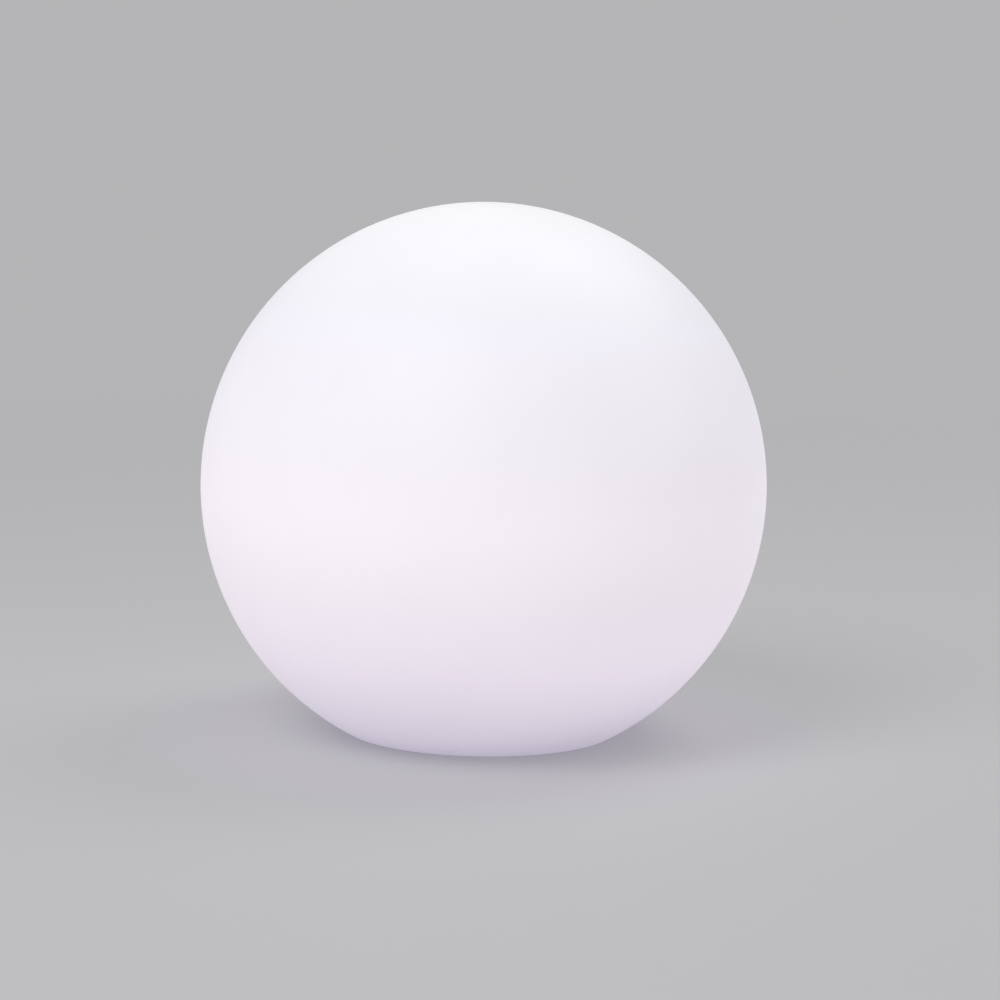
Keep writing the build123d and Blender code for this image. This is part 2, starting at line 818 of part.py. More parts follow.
socket_mouth = unit_bottom + socket_mouth_depth
socket_core_bottom = board_bottom - socket_core_height
tongue_bottom = socket_mouth + tongue_depth
socket_inner_length = socket_length - 2 * socket_wall
socket_inner_width = socket_width - 2 * socket_wall

with BuildPart() as charge_socket:
    with BuildSketch(Plane.XY.offset(socket_mouth)):
        with Locations((port_at, 0)):
            SlotOverall(socket_length, socket_width, rotation=90)
            SlotOverall(socket_inner_length, socket_inner_width, rotation=90, mode=Mode.SUBTRACT)
    extrude(amount=board_bottom - socket_mouth)
charge_socket.part.label = "charge_socket"
export_step(charge_socket.part, "parts/charge_socket.step")

with BuildPart() as socket_tongue:
    with BuildSketch(Plane.XY.offset(socket_core_bottom)):
        with Locations((port_at, 0)):
            SlotOverall(
                socket_inner_length - tongue_clearance,
                socket_inner_width - tongue_clearance,
                rotation=90,
            )
    extrude(amount=board_bottom - socket_core_bottom)
    with BuildSketch(Plane.XY.offset(tongue_bottom)):
        with Locations((port_at, 0)):
            Rectangle(tongue_thickness, socket_inner_length - tongue_inset)
    extrude(amount=socket_core_bottom - tongue_bottom)
socket_tongue.part.label = "socket_tongue"
export_step(socket_tongue.part, "parts/socket_tongue.step")

recess_floor = unit_bottom + port_recess_depth
flap_top = recess_floor - flap_clearance
flap_bottom = flap_top - flap_thickness
flap_axis = flap_top - flap_bead_radius
plate_start = recess_start + flap_clearance
plate_end = hinge_at - flap_web_length
web_width = flap_width - 2 * flap_web_inset

with BuildPart() as port_flap:
    with BuildSketch(Plane.XY.offset(flap_bottom)):
        with Locations(((plate_start + plate_end) / 2, 0)):
            RectangleRounded(plate_end - plate_start, flap_width, flap_corner_radius)
    extrude(amount=flap_thickness)
    # Thin web to the bead that the flap turns on
    with BuildSketch(Plane.XY.offset(flap_axis - flap_web_thickness / 2)):
        with Locations(((plate_end - flap_web_root + hinge_at) / 2, 0)):
            Rectangle(flap_web_length + flap_web_root, web_width)
    extrude(amount=flap_web_thickness)
    with BuildSketch(Plane.XZ.offset(-web_width / 2)):
        with Locations((hinge_at, flap_axis)):
            Circle(flap_bead_radius)
    extrude(amount=web_width)
    # Plug that closes the socket's window
    with BuildSketch(Plane.XY.offset(flap_top)):
        with Locations((port_at, 0)):
            SlotOverall(socket_length - flap_plug_clearance, socket_width - flap_plug_clearance, rotation=90)
    extrude(amount=socket_mouth - flap_clearance - flap_top)
port_flap.part.label = "port_flap"
export_step(port_flap.part, "parts/port_flap.step")

with BuildPart() as flap_anchor:
    with BuildSketch(Plane.XY.offset(unit_bottom)):
        with Locations((anchor_at, 0)):
            Rectangle(anchor_length, web_width)
    extrude(amount=port_recess_depth)
    with BuildSketch(Plane.XY.offset(recess_floor)):
        with Locations((anchor_at, 0)):
            Circle(anchor_neck_radius)
    extrude(amount=cover_top - recess_floor)
    with BuildSketch(Plane.XY.offset(cover_top)):
        with Locations((anchor_at, 0)):
            Circle(anchor_head_radius)
    extrude(amount=anchor_head_height, taper=anchor_head_taper)
flap_anchor.part.label = "flap_anchor"
export_step(flap_anchor.part, "parts/flap_anchor.step")

# ------------------------------------------------------------------ control board

with BuildPart() as control_board:
    with BuildSketch(Plane.XY.offset(board_bottom)):
        RectangleRounded(board_length, board_width, board_corner_radius)
        with Locations(*board_holes):
            Circle(small_screw[0] + screw_clearance, mode=Mode.SUBTRACT)
    extrude(amount=board_thickness)
control_board.part.label = "control_board"
export_step(control_board.part, "parts/control_board.step")

with BuildPart() as board_screws:
    with Locations(*[(x, y, board_top) for x, y in board_holes]):
        add(pan_screw(small_screw))
board_screws.part.label = "board_screws"
export_step(board_screws.part, "parts/board_screws.step")

with BuildPart() as status_led:
    with BuildSketch(Plane.XY.offset(board_bottom)):
        with Locations((pipe_at, 0)):
            Rectangle(status_led_size[0], status_led_size[1])
    extrude(amount=-status_led_size[2])
status_led.part.label = "status_led"
export_step(status_led.part, "parts/status_led.step")

with BuildPart() as control_chips:
    for place, (chip_length, chip_width, chip_height) in chips:
        with BuildSketch(Plane.XY.offset(board_top)):
            with Locations(place):
                Rectangle(chip_length, chip_width)
        extrude(amount=chip_height)
    chamfer(control_chips.faces().sort_by(Axis.Z)[-1].edges(), fine_edge)
control_chips.part.label = "control_chips"
export_step(control_chips.part, "parts/control_chips.step")

core_bottom = board_top + inductor_flange_thickness
core_top = core_bottom + inductor_core_height

with BuildPart() as power_inductor:
    # A drum: two square flanges and the core between them
    for flange_bottom in (board_top, core_top):
        with BuildSketch(Plane.XY.offset(flange_bottom)):
            with Locations(inductor_at):
                RectangleRounded(inductor_width, inductor_width, inductor_corner_radius)
        extrude(amount=inductor_flange_thickness)
    with BuildSketch(Plane.XY.offset(core_bottom)):
        with Locations(inductor_at):
            Circle(inductor_core_radius)
    extrude(amount=inductor_core_height)
power_inductor.part.label = "power_inductor"
export_step(power_inductor.part, "parts/power_inductor.step")

with BuildPart() as filter_capacitors:
    with BuildSketch(Plane.XY.offset(board_top)):
        with Locations(*capacitor_places):
            Circle(capacitor_radius)
    extrude(amount=tall_part_height)
    fillet(filter_capacitors.edges().filter_by(GeomType.CIRCLE).group_by(Axis.Z)[-1], small_edge)
filter_capacitors.part.label = "filter_capacitors"
export_step(filter_capacitors.part, "parts/filter_capacitors.step")

# Headers and plugs: both pairs open outwards, one over the board's end and one over its side.
# They are drawn for a lead that leaves along +X, with the header's middle at the origin.

plug_start = header_back - header_length / 2
plug_slot_width = header_width - 2 * header_wall

with BuildPart() as header:
    with BuildSketch(Plane.XY.offset(board_top)):
        Rectangle(header_length, header_width)
    extrude(amount=header_top - board_top)
    with BuildSketch(Plane.XY.offset(plug_bottom - plug_clearance)):
        with Locations((plug_start + header_length / 2 - plug_clearance, 0)):
            Rectangle(header_length, plug_slot_width)
    extrude(amount=plug_height + 2 * plug_clearance, mode=Mode.SUBTRACT)

with BuildPart() as plug:
    with BuildSketch(Plane.XY.offset(plug_bottom)):
        with Locations((plug_start + plug_length / 2, 0)):
            Rectangle(plug_length, plug_slot_width - 2 * plug_clearance)
    extrude(amount=plug_height)

plug_end = plug_start + plug_length
battery_header_at = Location((battery_header_x, 0, 0))
led_header_at = Location((0, (board_width - header_length) / 2 - header_inset, 0), (0, 0, 90))
board_joins = (
    ("battery_header", header, battery_header_at),
    ("battery_plug", plug, battery_header_at),
    ("led_header", header, led_header_at),
    ("led_plug", plug, led_header_at),
)
for name, shape, place in board_joins:
    with BuildPart() as join:
        with Locations(place):
            add(shape.part)
    join.part.label = name
    export_step(join.part, f"parts/{name}.step")

# ------------------------------------------------------------------ battery pack

tab_length = 2 * (cell_at + tab_overhang)
tray_corner_radius = tray_wall

with BuildPart() as battery_tray:
    with BuildSketch(Plane.XY.offset(tray_bottom)):
        RectangleRounded(2 * tray_half_length, 2 * tray_half_width, tray_corner_radius)
    extrude(amount=tray_height)
    with BuildSketch(Plane.XY.offset(tray_top)):
        with Locations(*tray_ears):
            Circle(tray_ear_radius)
        with GridLocations(2 * tray_ear_x, 1, 2, 1):
            Rectangle(2 * tray_ear_radius, 2 * tray_ear_y)
    extrude(amount=-tray_ear_thickness)
    # Two troughs, with a slot at each end for the tabs
    with BuildSketch(Plane.YZ.offset(-tray_inner_half_length)):
        with Locations((-cell_at, cell_height), (cell_at, cell_height)):
            Circle(cell_radius + cell_clearance)
    extrude(amount=2 * tray_inner_half_length, mode=Mode.SUBTRACT)
    with BuildSketch(Plane.XY.offset(cell_height - tab_width / 2 - cell_clearance)):
        with GridLocations(cell_length + tab_thickness, 1, 2, 1):
            Rectangle(tab_thickness + 2 * cell_clearance, tab_length + 2 * cell_clearance)
    extrude(amount=tray_height, mode=Mode.SUBTRACT)
    with BuildSketch(Plane.XY.offset(tray_top)):
        with Locations(*tray_ears):
            Circle(cover_screw[0] + screw_clearance)
    extrude(amount=-tray_ear_thickness, mode=Mode.SUBTRACT)
battery_tray.part.label = "battery_tray"
export_step(battery_tray.part, "parts/battery_tray.step")

with BuildPart() as tray_screws:
    with Locations(*[Location((x, y, tray_top - tray_ear_thickness), (180, 0, 0)) for x, y in tray_ears]):
        add(pan_screw(cover_screw))
tray_screws.part.label = "tray_screws"
export_step(tray_screws.part, "parts/tray_screws.step")

with BuildPart() as battery_cells:
    with BuildSketch(Plane.YZ.offset(-cell_length / 2)):
        with Locations((-cell_at, cell_height), (cell_at, cell_height)):
            Circle(cell_radius)
    extrude(amount=cell_length)
    fillet(battery_cells.edges().filter_by(GeomType.CIRCLE), medium_edge)
    # A groove round each can marks the end with the raised terminal
    with BuildSketch(Plane.YZ.offset(cell_length / 2 - cell_groove_at)):
        with Locations((-cell_at, cell_height), (cell_at, cell_height)):
            Circle(cell_radius + cell_groove_depth)
            Circle(cell_radius - cell_groove_depth, mode=Mode.SUBTRACT)
    extrude(amount=cell_groove_width, mode=Mode.SUBTRACT)
battery_cells.part.label = "battery_cells"
export_step(battery_cells.part, "parts/battery_cells.step")

protection_at = tray_half_length
protection_bottom = tray_top - protection_drop
protection_top = cell_height + protection_rise
strip_edge = strip_width / 2 + cell_clearance
strip_bottom = cell_height + sqrt(cell_radius**2 - (cell_at - strip_edge) ** 2) + strip_clearance
strip_top = strip_bottom + tab_thickness
strip_start = -cell_length / 2 - tab_thickness

with BuildPart() as cell_tabs:
    # Plus tab, with its tongue over the tray's end wall to the protection board
    with BuildSketch(Plane.YZ.offset(cell_length / 2)):
        with Locations((0, cell_height)):
            Rectangle(tab_length, tab_width)
    extrude(amount=tab_thickness)
    with BuildSketch(Plane.YZ.offset(cell_length / 2)):
        with Locations((plus_tongue_at[0], cell_height + plus_tongue_at[1])):
            Rectangle(strip_width, tab_thickness)
    extrude(amount=protection_at - cell_length / 2)
    # Minus tab, with its strip back along the valley between the cells
    with BuildSketch(Plane.YZ.offset(-cell_length / 2)):
        with Locations((0, cell_height)):
            Rectangle(tab_length, tab_width)
        with Locations((0, (cell_height + strip_top) / 2)):
            Rectangle(strip_width, strip_top - cell_height)
    extrude(amount=-tab_thickness)
    with BuildSketch(Plane.XY.offset(strip_bottom)):
        with Locations(((protection_at + strip_start) / 2, 0)):
            Rectangle(protection_at - strip_start, strip_width)
    extrude(amount=tab_thickness)
cell_tabs.part.label = "cell_tabs"
export_step(cell_tabs.part, "parts/cell_tabs.step")

with BuildPart() as cell_foam:
    with BuildSketch(Plane.XY.offset(deck_bottom)):
        with GridLocations(foam_spacing, 2 * cell_at, 2, 2):
            Rectangle(foam_length, foam_width)
    extrude(amount=-foam_thickness - foam_wrap)
    with BuildSketch(Plane.YZ.offset(-cell_length / 2)):
        with Locations((-cell_at, cell_height), (cell_at, cell_height)):
            Circle(cell_radius + thread_clearance)
    extrude(amount=cell_length, mode=Mode.SUBTRACT)
cell_foam.part.label = "cell_foam"
export_step(cell_foam.part, "parts/cell_foam.step")

terminal_bottom = cell_height - terminal_drop
terminal_at = protection_at + protection_thickness + terminal_length / 2

with BuildPart() as protection_board:
    with BuildSketch(Plane.XY.offset(protection_bottom)):
        with Locations((protection_at + protection_thickness / 2, 0)):
            Rectangle(protection_thickness, protection_width)
    extrude(amount=protection_top - protection_bottom)
    # Terminal blocks for the two leads, and the protection chip beside them
    with BuildSketch(Plane.XY.offset(terminal_bottom)):
        with Locations((terminal_at, 0)):
            with GridLocations(1, wire_pair_spacing, 1, 2):
                Rectangle(terminal_length, wire_pair_spacing - terminal_gap)
    extrude(amount=terminal_height)
    with BuildSketch(Plane.XY.offset(terminal_bottom)):
        with Locations((protection_at + protection_thickness + protection_chip[0] / 2, protection_chip_y)):
            Rectangle(protection_chip[0], protection_chip[1])
    extrude(amount=protection_chip[2])
protection_board.part.label = "protection_board"
export_step(protection_board.part, "parts/protection_board.step")

# ------------------------------------------------------------------ leads

for name, side in (("battery_lead_red", 1), ("battery_lead_black", -1)):
    lead_y = side * wire_pair_spacing / 2
    exit_x = battery_header_at.position.X + plug_end
    lead = wire(
        [
            (exit_x, lead_y, lead_height),
            (terminal_at, lead_y, lead_height),
            (terminal_at, lead_y, terminal_bottom),
        ]
    )
    lead.label = name
    export_step(lead, f"parts/{name}.step")

led_lead_end_y = led_board_radius - led_terminal_inset
led_lead_height = led_board_top + led_lead_rise
for name, side in (("led_lead_red", 1), ("led_lead_black", -1)):
    lead_x = side * wire_pair_spacing / 2
    exit_y = led_header_at.position.Y + plug_end
    lead = wire(
        [
            (lead_x, exit_y, lead_height),
            (lead_x, grommet_y, lead_height),
            (lead_x, grommet_y, led_lead_height),
            (lead_x, led_lead_end_y, led_lead_height),
        ]
    )
    lead.label = name
    export_step(lead, f"parts/{name}.step")

with BuildPart() as wire_grommet:
    with BuildSketch(Plane.XY.offset(deck_bottom)):
        with Locations((0, grommet_y)):
            Circle(grommet_radius + grommet_lip)
    extrude(amount=-grommet_lip_thickness)
    with BuildSketch(Plane.XY.offset(deck_bottom)):
        with Locations((0, grommet_y)):
            Circle(grommet_radius - thread_clearance)
    extrude(amount=deck_thickness)
    with BuildSketch(Plane.XY.offset(deck_top)):
        with Locations((0, grommet_y)):
            Circle(grommet_radius + grommet_lip)
    extrude(amount=grommet_lip_thickness)
    with BuildSketch(Plane.XY.offset(deck_bottom - grommet_lip_thickness)):
        with Locations((0, grommet_y)):
            Circle(wire_pair_spacing / 2 + wire_radius + grommet_wire_clearance)
    extrude(amount=deck_thickness + 2 * grommet_lip_thickness, mode=Mode.SUBTRACT)
wire_grommet.part.label = "wire_grommet"
export_step(wire_grommet.part, "parts/wire_grommet.step")

# ------------------------------------------------------------------ light source

with BuildPart() as led_board:
    with BuildSketch(Plane.XY.offset(led_board_bottom)):
        Circle(led_board_radius)
        with PolarLocations(led_screw_circle, ring_count, ring_start):
            Circle(small_screw[0] + screw_clearance, mode=Mode.SUBTRACT)
    extrude(amount=led_board_thickness)
led_board.part.label = "led_board"
export_step(led_board.part, "parts/led_board.step")

with BuildPart() as led_packages:
    with BuildSketch(Plane.XY.offset(led_board_top)):
        for circle, count in led_rings.items():
            with PolarLocations(circle, count, 180 / count):
                Rectangle(led_length, led_width)
    extrude(amount=led_thickness)
led_packages.part.label = "led_packages"
export_step(led_packages.part, "parts/led_packages.step")

with BuildPart() as led_board_screws:
    with Locations((0, 0, led_board_top)):
        with PolarLocations(led_screw_circle, ring_count, ring_start):
            add(pan_screw((small_screw[0], small_screw[1], led_screw_length)))
led_board_screws.part.label = "led_board_screws"
export_step(led_board_screws.part, "parts/led_board_screws.step")

with BuildPart() as led_terminal:
    with BuildSketch(Plane.XY.offset(led_board_top)):
        with Locations((0, led_lead_end_y - led_terminal_size[1] / 2)):
            Rectangle(led_terminal_size[0], led_terminal_size[1])
    extrude(amount=led_terminal_size[2])
    chamfer(led_terminal.faces().sort_by(Axis.Z)[-1].edges(), fine_edge)
led_terminal.part.label = "led_terminal"
export_step(led_terminal.part, "parts/led_terminal.step")

# ------------------------------------------------------------------ dome

dome_inner_radius = dome_radius - dome_wall
dome_head_seat = ring_top - dome_screw[1] * pan_height_share - screw_clearance

with BuildPart() as light_dome:
    with BuildSketch(Plane.XZ):
        with BuildLine():
            Polyline(
                (dome_inner_radius, dome_spring),
                (dome_inner_radius, dome_gasket_top),
                (dome_flange_radius, dome_gasket_top),
                (dome_flange_radius, dome_flange_top),
                (dome_radius, dome_flange_top),
                (dome_radius, dome_spring),
            )
            ThreePointArc(
                (dome_radius, dome_spring),
                (dome_radius * sin(pi / 4), dome_spring + dome_radius * cos(pi / 4)),
                (0, dome_spring + dome_radius),
            )
            Line((0, dome_spring + dome_radius), (0, dome_spring + dome_inner_radius))
            ThreePointArc(
                (0, dome_spring + dome_inner_radius),
                (dome_inner_radius * sin(pi / 4), dome_spring + dome_inner_radius * cos(pi / 4)),
                (dome_inner_radius, dome_spring),
            )
        make_face()
    revolve(axis=Axis.Z)
    fillet(round_edges(light_dome, dome_radius, dome_flange_top), fine_edge)
light_dome.part.label = "light_dome"
export_step(light_dome.part, "parts/light_dome.step")

dome_gasket = flat_ring(dome_flange_radius, dome_inner_radius + dome_gasket_inset, deck_top, gasket_thickness)
dome_gasket.label = "dome_gasket"
export_step(dome_gasket, "parts/dome_gasket.step")

with BuildPart() as dome_ring:
    with BuildSketch(Plane.XY.offset(deck_top)):
        Circle(barrel_radius)
        Circle(dome_flange_radius + ring_clearance, mode=Mode.SUBTRACT)
    extrude(amount=dome_flange_top - deck_top)
    with BuildSketch(Plane.XY.offset(dome_flange_top)):
        Circle(barrel_radius)
        Circle(dome_radius + ring_clearance, mode=Mode.SUBTRACT)
    extrude(amount=ring_thickness)
    fillet(round_edges(dome_ring, barrel_radius, ring_top), large_edge)
    fillet(round_edges(dome_ring, dome_radius + ring_clearance, ring_top), small_edge)
    # Screw holes, stepped so that the heads sit below the ring's top
    with BuildSketch(Plane.XY.offset(deck_top)):
        with PolarLocations(dome_screw_circle, ring_count, ring_start):
            Circle(dome_screw[0] + screw_clearance)
    extrude(amount=ring_top - deck_top, mode=Mode.SUBTRACT)
    with BuildSketch(Plane.XY.offset(ring_top)):
        with PolarLocations(dome_screw_circle, ring_count, ring_start):
            Circle(dome_screw[1] + screw_clearance)
    extrude(amount=dome_head_seat - ring_top, mode=Mode.SUBTRACT)
dome_ring.part.label = "dome_ring"
export_step(dome_ring.part, "parts/dome_ring.step")

with BuildPart() as dome_screws:
    with Locations((0, 0, dome_head_seat)):
        with PolarLocations(dome_screw_circle, ring_count, ring_start):
            add(pan_screw(dome_screw))
dome_screws.part.label = "dome_screws"
export_step(dome_screws.part, "parts/dome_screws.step")
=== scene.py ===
import json
from math import asin, cos, degrees, pi, radians, sin

import bpy
from mathutils import Matrix, Vector


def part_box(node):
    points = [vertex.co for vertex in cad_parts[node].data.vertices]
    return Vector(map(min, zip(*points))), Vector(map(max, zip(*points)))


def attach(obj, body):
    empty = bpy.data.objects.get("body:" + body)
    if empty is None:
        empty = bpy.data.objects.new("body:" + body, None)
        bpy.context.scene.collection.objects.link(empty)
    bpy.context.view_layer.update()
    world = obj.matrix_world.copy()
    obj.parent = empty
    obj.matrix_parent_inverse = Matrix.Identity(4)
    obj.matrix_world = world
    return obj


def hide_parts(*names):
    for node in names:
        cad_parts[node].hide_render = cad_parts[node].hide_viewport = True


# Garden globe light: the lit globe over its light unit. Metres, +Z up, the ground at z = 0 and the
# globe's axis at x = y = 0.

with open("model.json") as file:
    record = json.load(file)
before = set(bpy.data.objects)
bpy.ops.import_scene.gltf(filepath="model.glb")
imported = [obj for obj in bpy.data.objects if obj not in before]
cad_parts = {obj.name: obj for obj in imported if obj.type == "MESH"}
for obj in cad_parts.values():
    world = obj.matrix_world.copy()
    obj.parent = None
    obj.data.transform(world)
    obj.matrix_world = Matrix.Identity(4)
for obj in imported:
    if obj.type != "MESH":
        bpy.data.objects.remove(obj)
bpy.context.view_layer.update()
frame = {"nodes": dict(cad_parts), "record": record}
nodes = frame["nodes"]
slot_of = {row["node"]: row["material_slot"] for row in frame["record"]["subparts"]}

mm = 0.001

# ------------------------------------------------------------------ sizes

globe_wall = 3.0 * mm
base_rim_thickness = 5.8 * mm
base_edge_radius = 1.2 * mm
recess_edge_radius = 0.8 * mm
recess_clearance = 0.5 * mm
neck_inset = 8.6 * mm
boss_count = 6
boss_radius = 4.2 * mm
boss_height = 8.6 * mm
insert_radius = 2.25 * mm
insert_pocket_depth = 9.0 * mm
globe_segments = 240
globe_skin_steps = 150
globe_inside_steps = 90
globe_edge_steps = 5
# Sides of the bosses and of their pockets
bar_sides = 40

dome_wall = 2.0 * mm
dome_lip = 2.6 * mm
dome_flange_thickness = 2.0 * mm
dome_edge = 0.3 * mm
dome_segments = 128
dome_skin_steps = 40
dome_inside_steps = 32
dome_edge_steps = 3

foot_radius = 5.5 * mm
foot_edge = 0.5 * mm
foot_groove_width = 0.7 * mm
foot_groove_depth = 0.3 * mm
foot_groove_circles = (1.7 * mm, 3.4 * mm)
foot_segments = 48
foot_edge_steps = 4

mark_height = 0.25 * mm
mark_width = 1.0 * mm
mark_edge = 0.12 * mm
mark_sunk = 0.1 * mm

# Spin turns clockwise about an upward axis, so a downward one takes it the way that angles are counted
spin_axis = (0, 0, -1)
weld_distance = 0.002 * mm
# Edges turning by less than this many degrees are smoothed
smooth_below = 35.0
# How nearly a face looks one way to count as looking that way
facing = 0.99
block_edge_steps = 2

# ------------------------------------------------------------------ camera

frame_pixels = 1000
focal_pixels = 3000
sensor_width = 36.0
camera_place = (0.00818, -1.4768, 0.32071)
camera_pitch_down = 7.883
camera_roll = 1.117
camera_near = 0.05
camera_far = 60.0


def set_camera():
    """The camera at the photograph's place: a little above the globe's middle, looking slightly down."""
    lens = bpy.data.cameras.new("camera")
    lens.sensor_width = sensor_width
    lens.lens = focal_pixels * sensor_width / frame_pixels
    lens.clip_start = camera_near
    lens.clip_end = camera_far
    camera = bpy.data.objects.new("camera", lens)
    bpy.context.scene.collection.objects.link(camera)
    tilt = Matrix.Rotation(radians(90 - camera_pitch_down), 4, "X")
    roll = Matrix.Rotation(radians(camera_roll), 4, "Z")
    camera.matrix_world = Matrix.Translation(camera_place) @ tilt @ roll
    bpy.context.scene.camera = camera


# ------------------------------------------------------------------ making shapes


def only(*pieces):
    """Selects these pieces alone, the first of them active."""
    bpy.ops.object.select_all(action="DESELECT")
    for piece in pieces:
        piece.select_set(True)
    bpy.context.view_layer.objects.active = pieces[0]


def reach(node):
    """How far a CAD node reaches from the globe's axis, to the nearest of its four sides."""
    low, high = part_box(node)
    return min(high.x, high.y, -low.x, -low.y)


def arc(centre, radius, start, end, steps):
    """Outline points (distance from the axis, height) along an arc, its angles in degrees from level."""
    turns = [radians(start + (end - start) * i / steps) for i in range(steps + 1)]
    return [(centre[0] + radius * cos(t), centre[1] + radius * sin(t)) for t in turns]


def push(move):
    """Extrudes what is selected and moves it."""
    bpy.ops.mesh.extrude_region_move(TRANSFORM_OT_translate={"value": move})


def spun(name, outline, segments, at=(0, 0), start=0.0, sweep=360.0):
    """An outline drawn point by point beside the upright line through at, and spun round it."""
    bpy.ops.object.select_all(action="DESELECT")
    bpy.ops.mesh.primitive_plane_add(size=mm, location=(0, 0, 0))
    piece = bpy.context.object
    piece.name = name
    bpy.ops.object.mode_set(mode="EDIT")
    bpy.ops.mesh.select_all(action="SELECT")
    bpy.ops.mesh.merge(type="CENTER")
    across = (cos(radians(start)), sin(radians(start)))
    points = [Vector((at[0] + out * across[0], at[1] + out * across[1], up)) for out, up in outline]
    bpy.ops.transform.translate(value=points[0])
    for near, far in zip(points, points[1:]):
        push(far - near)
    bpy.ops.mesh.select_all(action="SELECT")
    bpy.ops.mesh.spin(steps=segments, angle=radians(sweep), center=(at[0], at[1], 0), axis=spin_axis)
    tidy_open_mesh()
    bpy.ops.object.mode_set(mode="OBJECT")
    return piece


def tidy_open_mesh():
    """Merges what meets, closes open ends and points every face outwards."""
    bpy.ops.mesh.select_all(action="SELECT")
    bpy.ops.mesh.remove_doubles(threshold=weld_distance)
    bpy.ops.mesh.select_all(action="SELECT")
    bpy.ops.mesh.fill_holes(sides=0)
    bpy.ops.mesh.select_all(action="SELECT")
    bpy.ops.mesh.normals_make_consistent(inside=False)


def joined(name, pieces):
    """Several meshes as one piece, its place in its mesh."""
    only(*pieces)
    if len(pieces) > 1:
        bpy.ops.object.join()
    piece = bpy.context.object
    piece.name = name
    bpy.ops.object.transform_apply(location=True, rotation=True, scale=True)
    return piece


def round_bars(name, spots, radius, bottom, top):
    """Upright round bars, one at each spot."""
    bars = []
    for x, y in spots:
        bpy.ops.object.select_all(action="DESELECT")
        bpy.ops.mesh.primitive_cylinder_add(
            vertices=bar_sides, radius=radius, depth=top - bottom, location=(x, y, (top + bottom) / 2)
        )
        bars.append(bpy.context.object)
    return joined(name, bars)


def block(size, place, edge=0.0):
    """A block, its edges bevelled where edge is given."""
    bpy.ops.object.select_all(action="DESELECT")
    bpy.ops.mesh.primitive_cube_add(size=1, location=place)
    piece = bpy.context.object
    piece.scale = size
    bpy.ops.object.transform_apply(location=False, rotation=False, scale=True)
    if edge:
        bpy.ops.object.mode_set(mode="EDIT")
        bpy.ops.mesh.select_all(action="SELECT")
        bpy.ops.mesh.bevel(offset=edge, segments=block_edge_steps, affect="EDGES")
        bpy.ops.object.mode_set(mode="OBJECT")
    return piece


def combine(piece, tool, operation):
    """Adds the tool to the piece or cuts it out of it, and clears the tool away."""
    only(piece)
    change = piece.modifiers.new("combine", "BOOLEAN")
    change.operation = operation
    change.object = tool
    bpy.ops.object.modifier_apply(modifier=change.name)
    bpy.data.objects.remove(tool)


def open_with_faces(piece, wanted):
    """Opens a piece for editing with the wanted faces selected and nothing else."""
    only(piece)
    bpy.ops.object.mode_set(mode="EDIT")
    bpy.ops.mesh.select_mode(type="FACE")
    bpy.ops.mesh.select_all(action="DESELECT")
    bpy.ops.object.mode_set(mode="OBJECT")
    for face in piece.data.polygons:
        face.select = wanted(face)
    bpy.ops.object.mode_set(mode="EDIT")


def close_faces():
    """Leaves a piece that was opened with its faces, with points to be picked the next time."""
    bpy.ops.mesh.select_mode(type="VERT")
    bpy.ops.object.mode_set(mode="OBJECT")


def chamfer_low_faces(piece, edge):
    """Insets the faces that look down and pushes them out by as much, which leaves a chamfer round them."""
    open_with_faces(piece, lambda face: face.normal.z < -facing)
    bpy.ops.mesh.inset(thickness=edge, depth=edge)
    close_faces()


def finish_piece(piece, slot, body, replaced=()):
    """Smooths a new piece, gives it the finish of its slot and fixes it to its body."""
    only(piece)
    bpy.ops.object.shade_smooth_by_angle(angle=radians(smooth_below))
    piece.data.materials.clear()
    piece.data.materials.append(finishes[slot])
    if replaced:
        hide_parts(*replaced)
    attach(piece, body)


# ------------------------------------------------------------------ node tools

# Where a noise's values mostly end
noise_low = 0.3
noise_high = 0.7


def put(tree, kind, **settings):
    """A new node with its settings."""
    node = tree.nodes.new(kind)
    for name, value in settings.items():
        setattr(node, name, value)
    return node


def feed(tree, socket, value):
    """Links a socket into another, or sets it where the value is a number or a colour."""
    if isinstance(value, (int, float)):
        socket.default_value = value
    elif isinstance(value, tuple):
        socket.default_value = (*value, 1.0)
    else:
        tree.links.new(value, socket)


def maths(tree, operation, first, second, clamp=False):
    """A sum, product or the like of two values."""
    node = put(tree, "ShaderNodeMath", operation=operation, use_clamp=clamp)
    feed(tree, node.inputs[0], first)
    feed(tree, node.inputs[1], second)
    return node.outputs["Value"]


def remap(tree, value, low, high, to_low=0.0, to_high=1.0, smoothly=False):
    """The value's stretch from low to high, drawn out from to_low to to_high."""
    node = put(tree, "ShaderNodeMapRange")
    if smoothly:
        node.interpolation_type = "SMOOTHSTEP"
    tree.links.new(value, node.inputs["Value"])
    node.inputs["From Min"].default_value = low
    node.inputs["From Max"].default_value = high
    node.inputs["To Min"].default_value = to_low
    node.inputs["To Max"].default_value = to_high
    return node.outputs["Result"]


def between(tree, share, low, high):
    """A share from 0 to 1, drawn out from low to high."""
    return remap(tree, share, 0.0, 1.0, low, high)


def wander(tree, value, low=0.0, high=1.0):
    """A noise, which keeps near its middle, drawn out from low to high."""
    return remap(tree, value, noise_low, noise_high, low, high)


def blend(tree, share, first, second, mode="MIX"):
    """A mix of two colours."""
    node = put(tree, "ShaderNodeMix", data_type="RGBA", blend_type=mode)
    feed(tree, node.inputs[0], share)
    feed(tree, node.inputs[6], first)
    feed(tree, node.inputs[7], second)
    return node.outputs[2]


def two_shaders(tree, share, first, second):
    """A mix of two shaders."""
    node = put(tree, "ShaderNodeMixShader")
    tree.links.new(share, node.inputs["Fac"])
    tree.links.new(first, node.inputs[1])
    tree.links.new(second, node.inputs[2])
    return node.outputs["Shader"]


def places(tree):
    """Where each point of the surface is on its piece."""
    return put(tree, "ShaderNodeTexCoord").outputs["Object"]


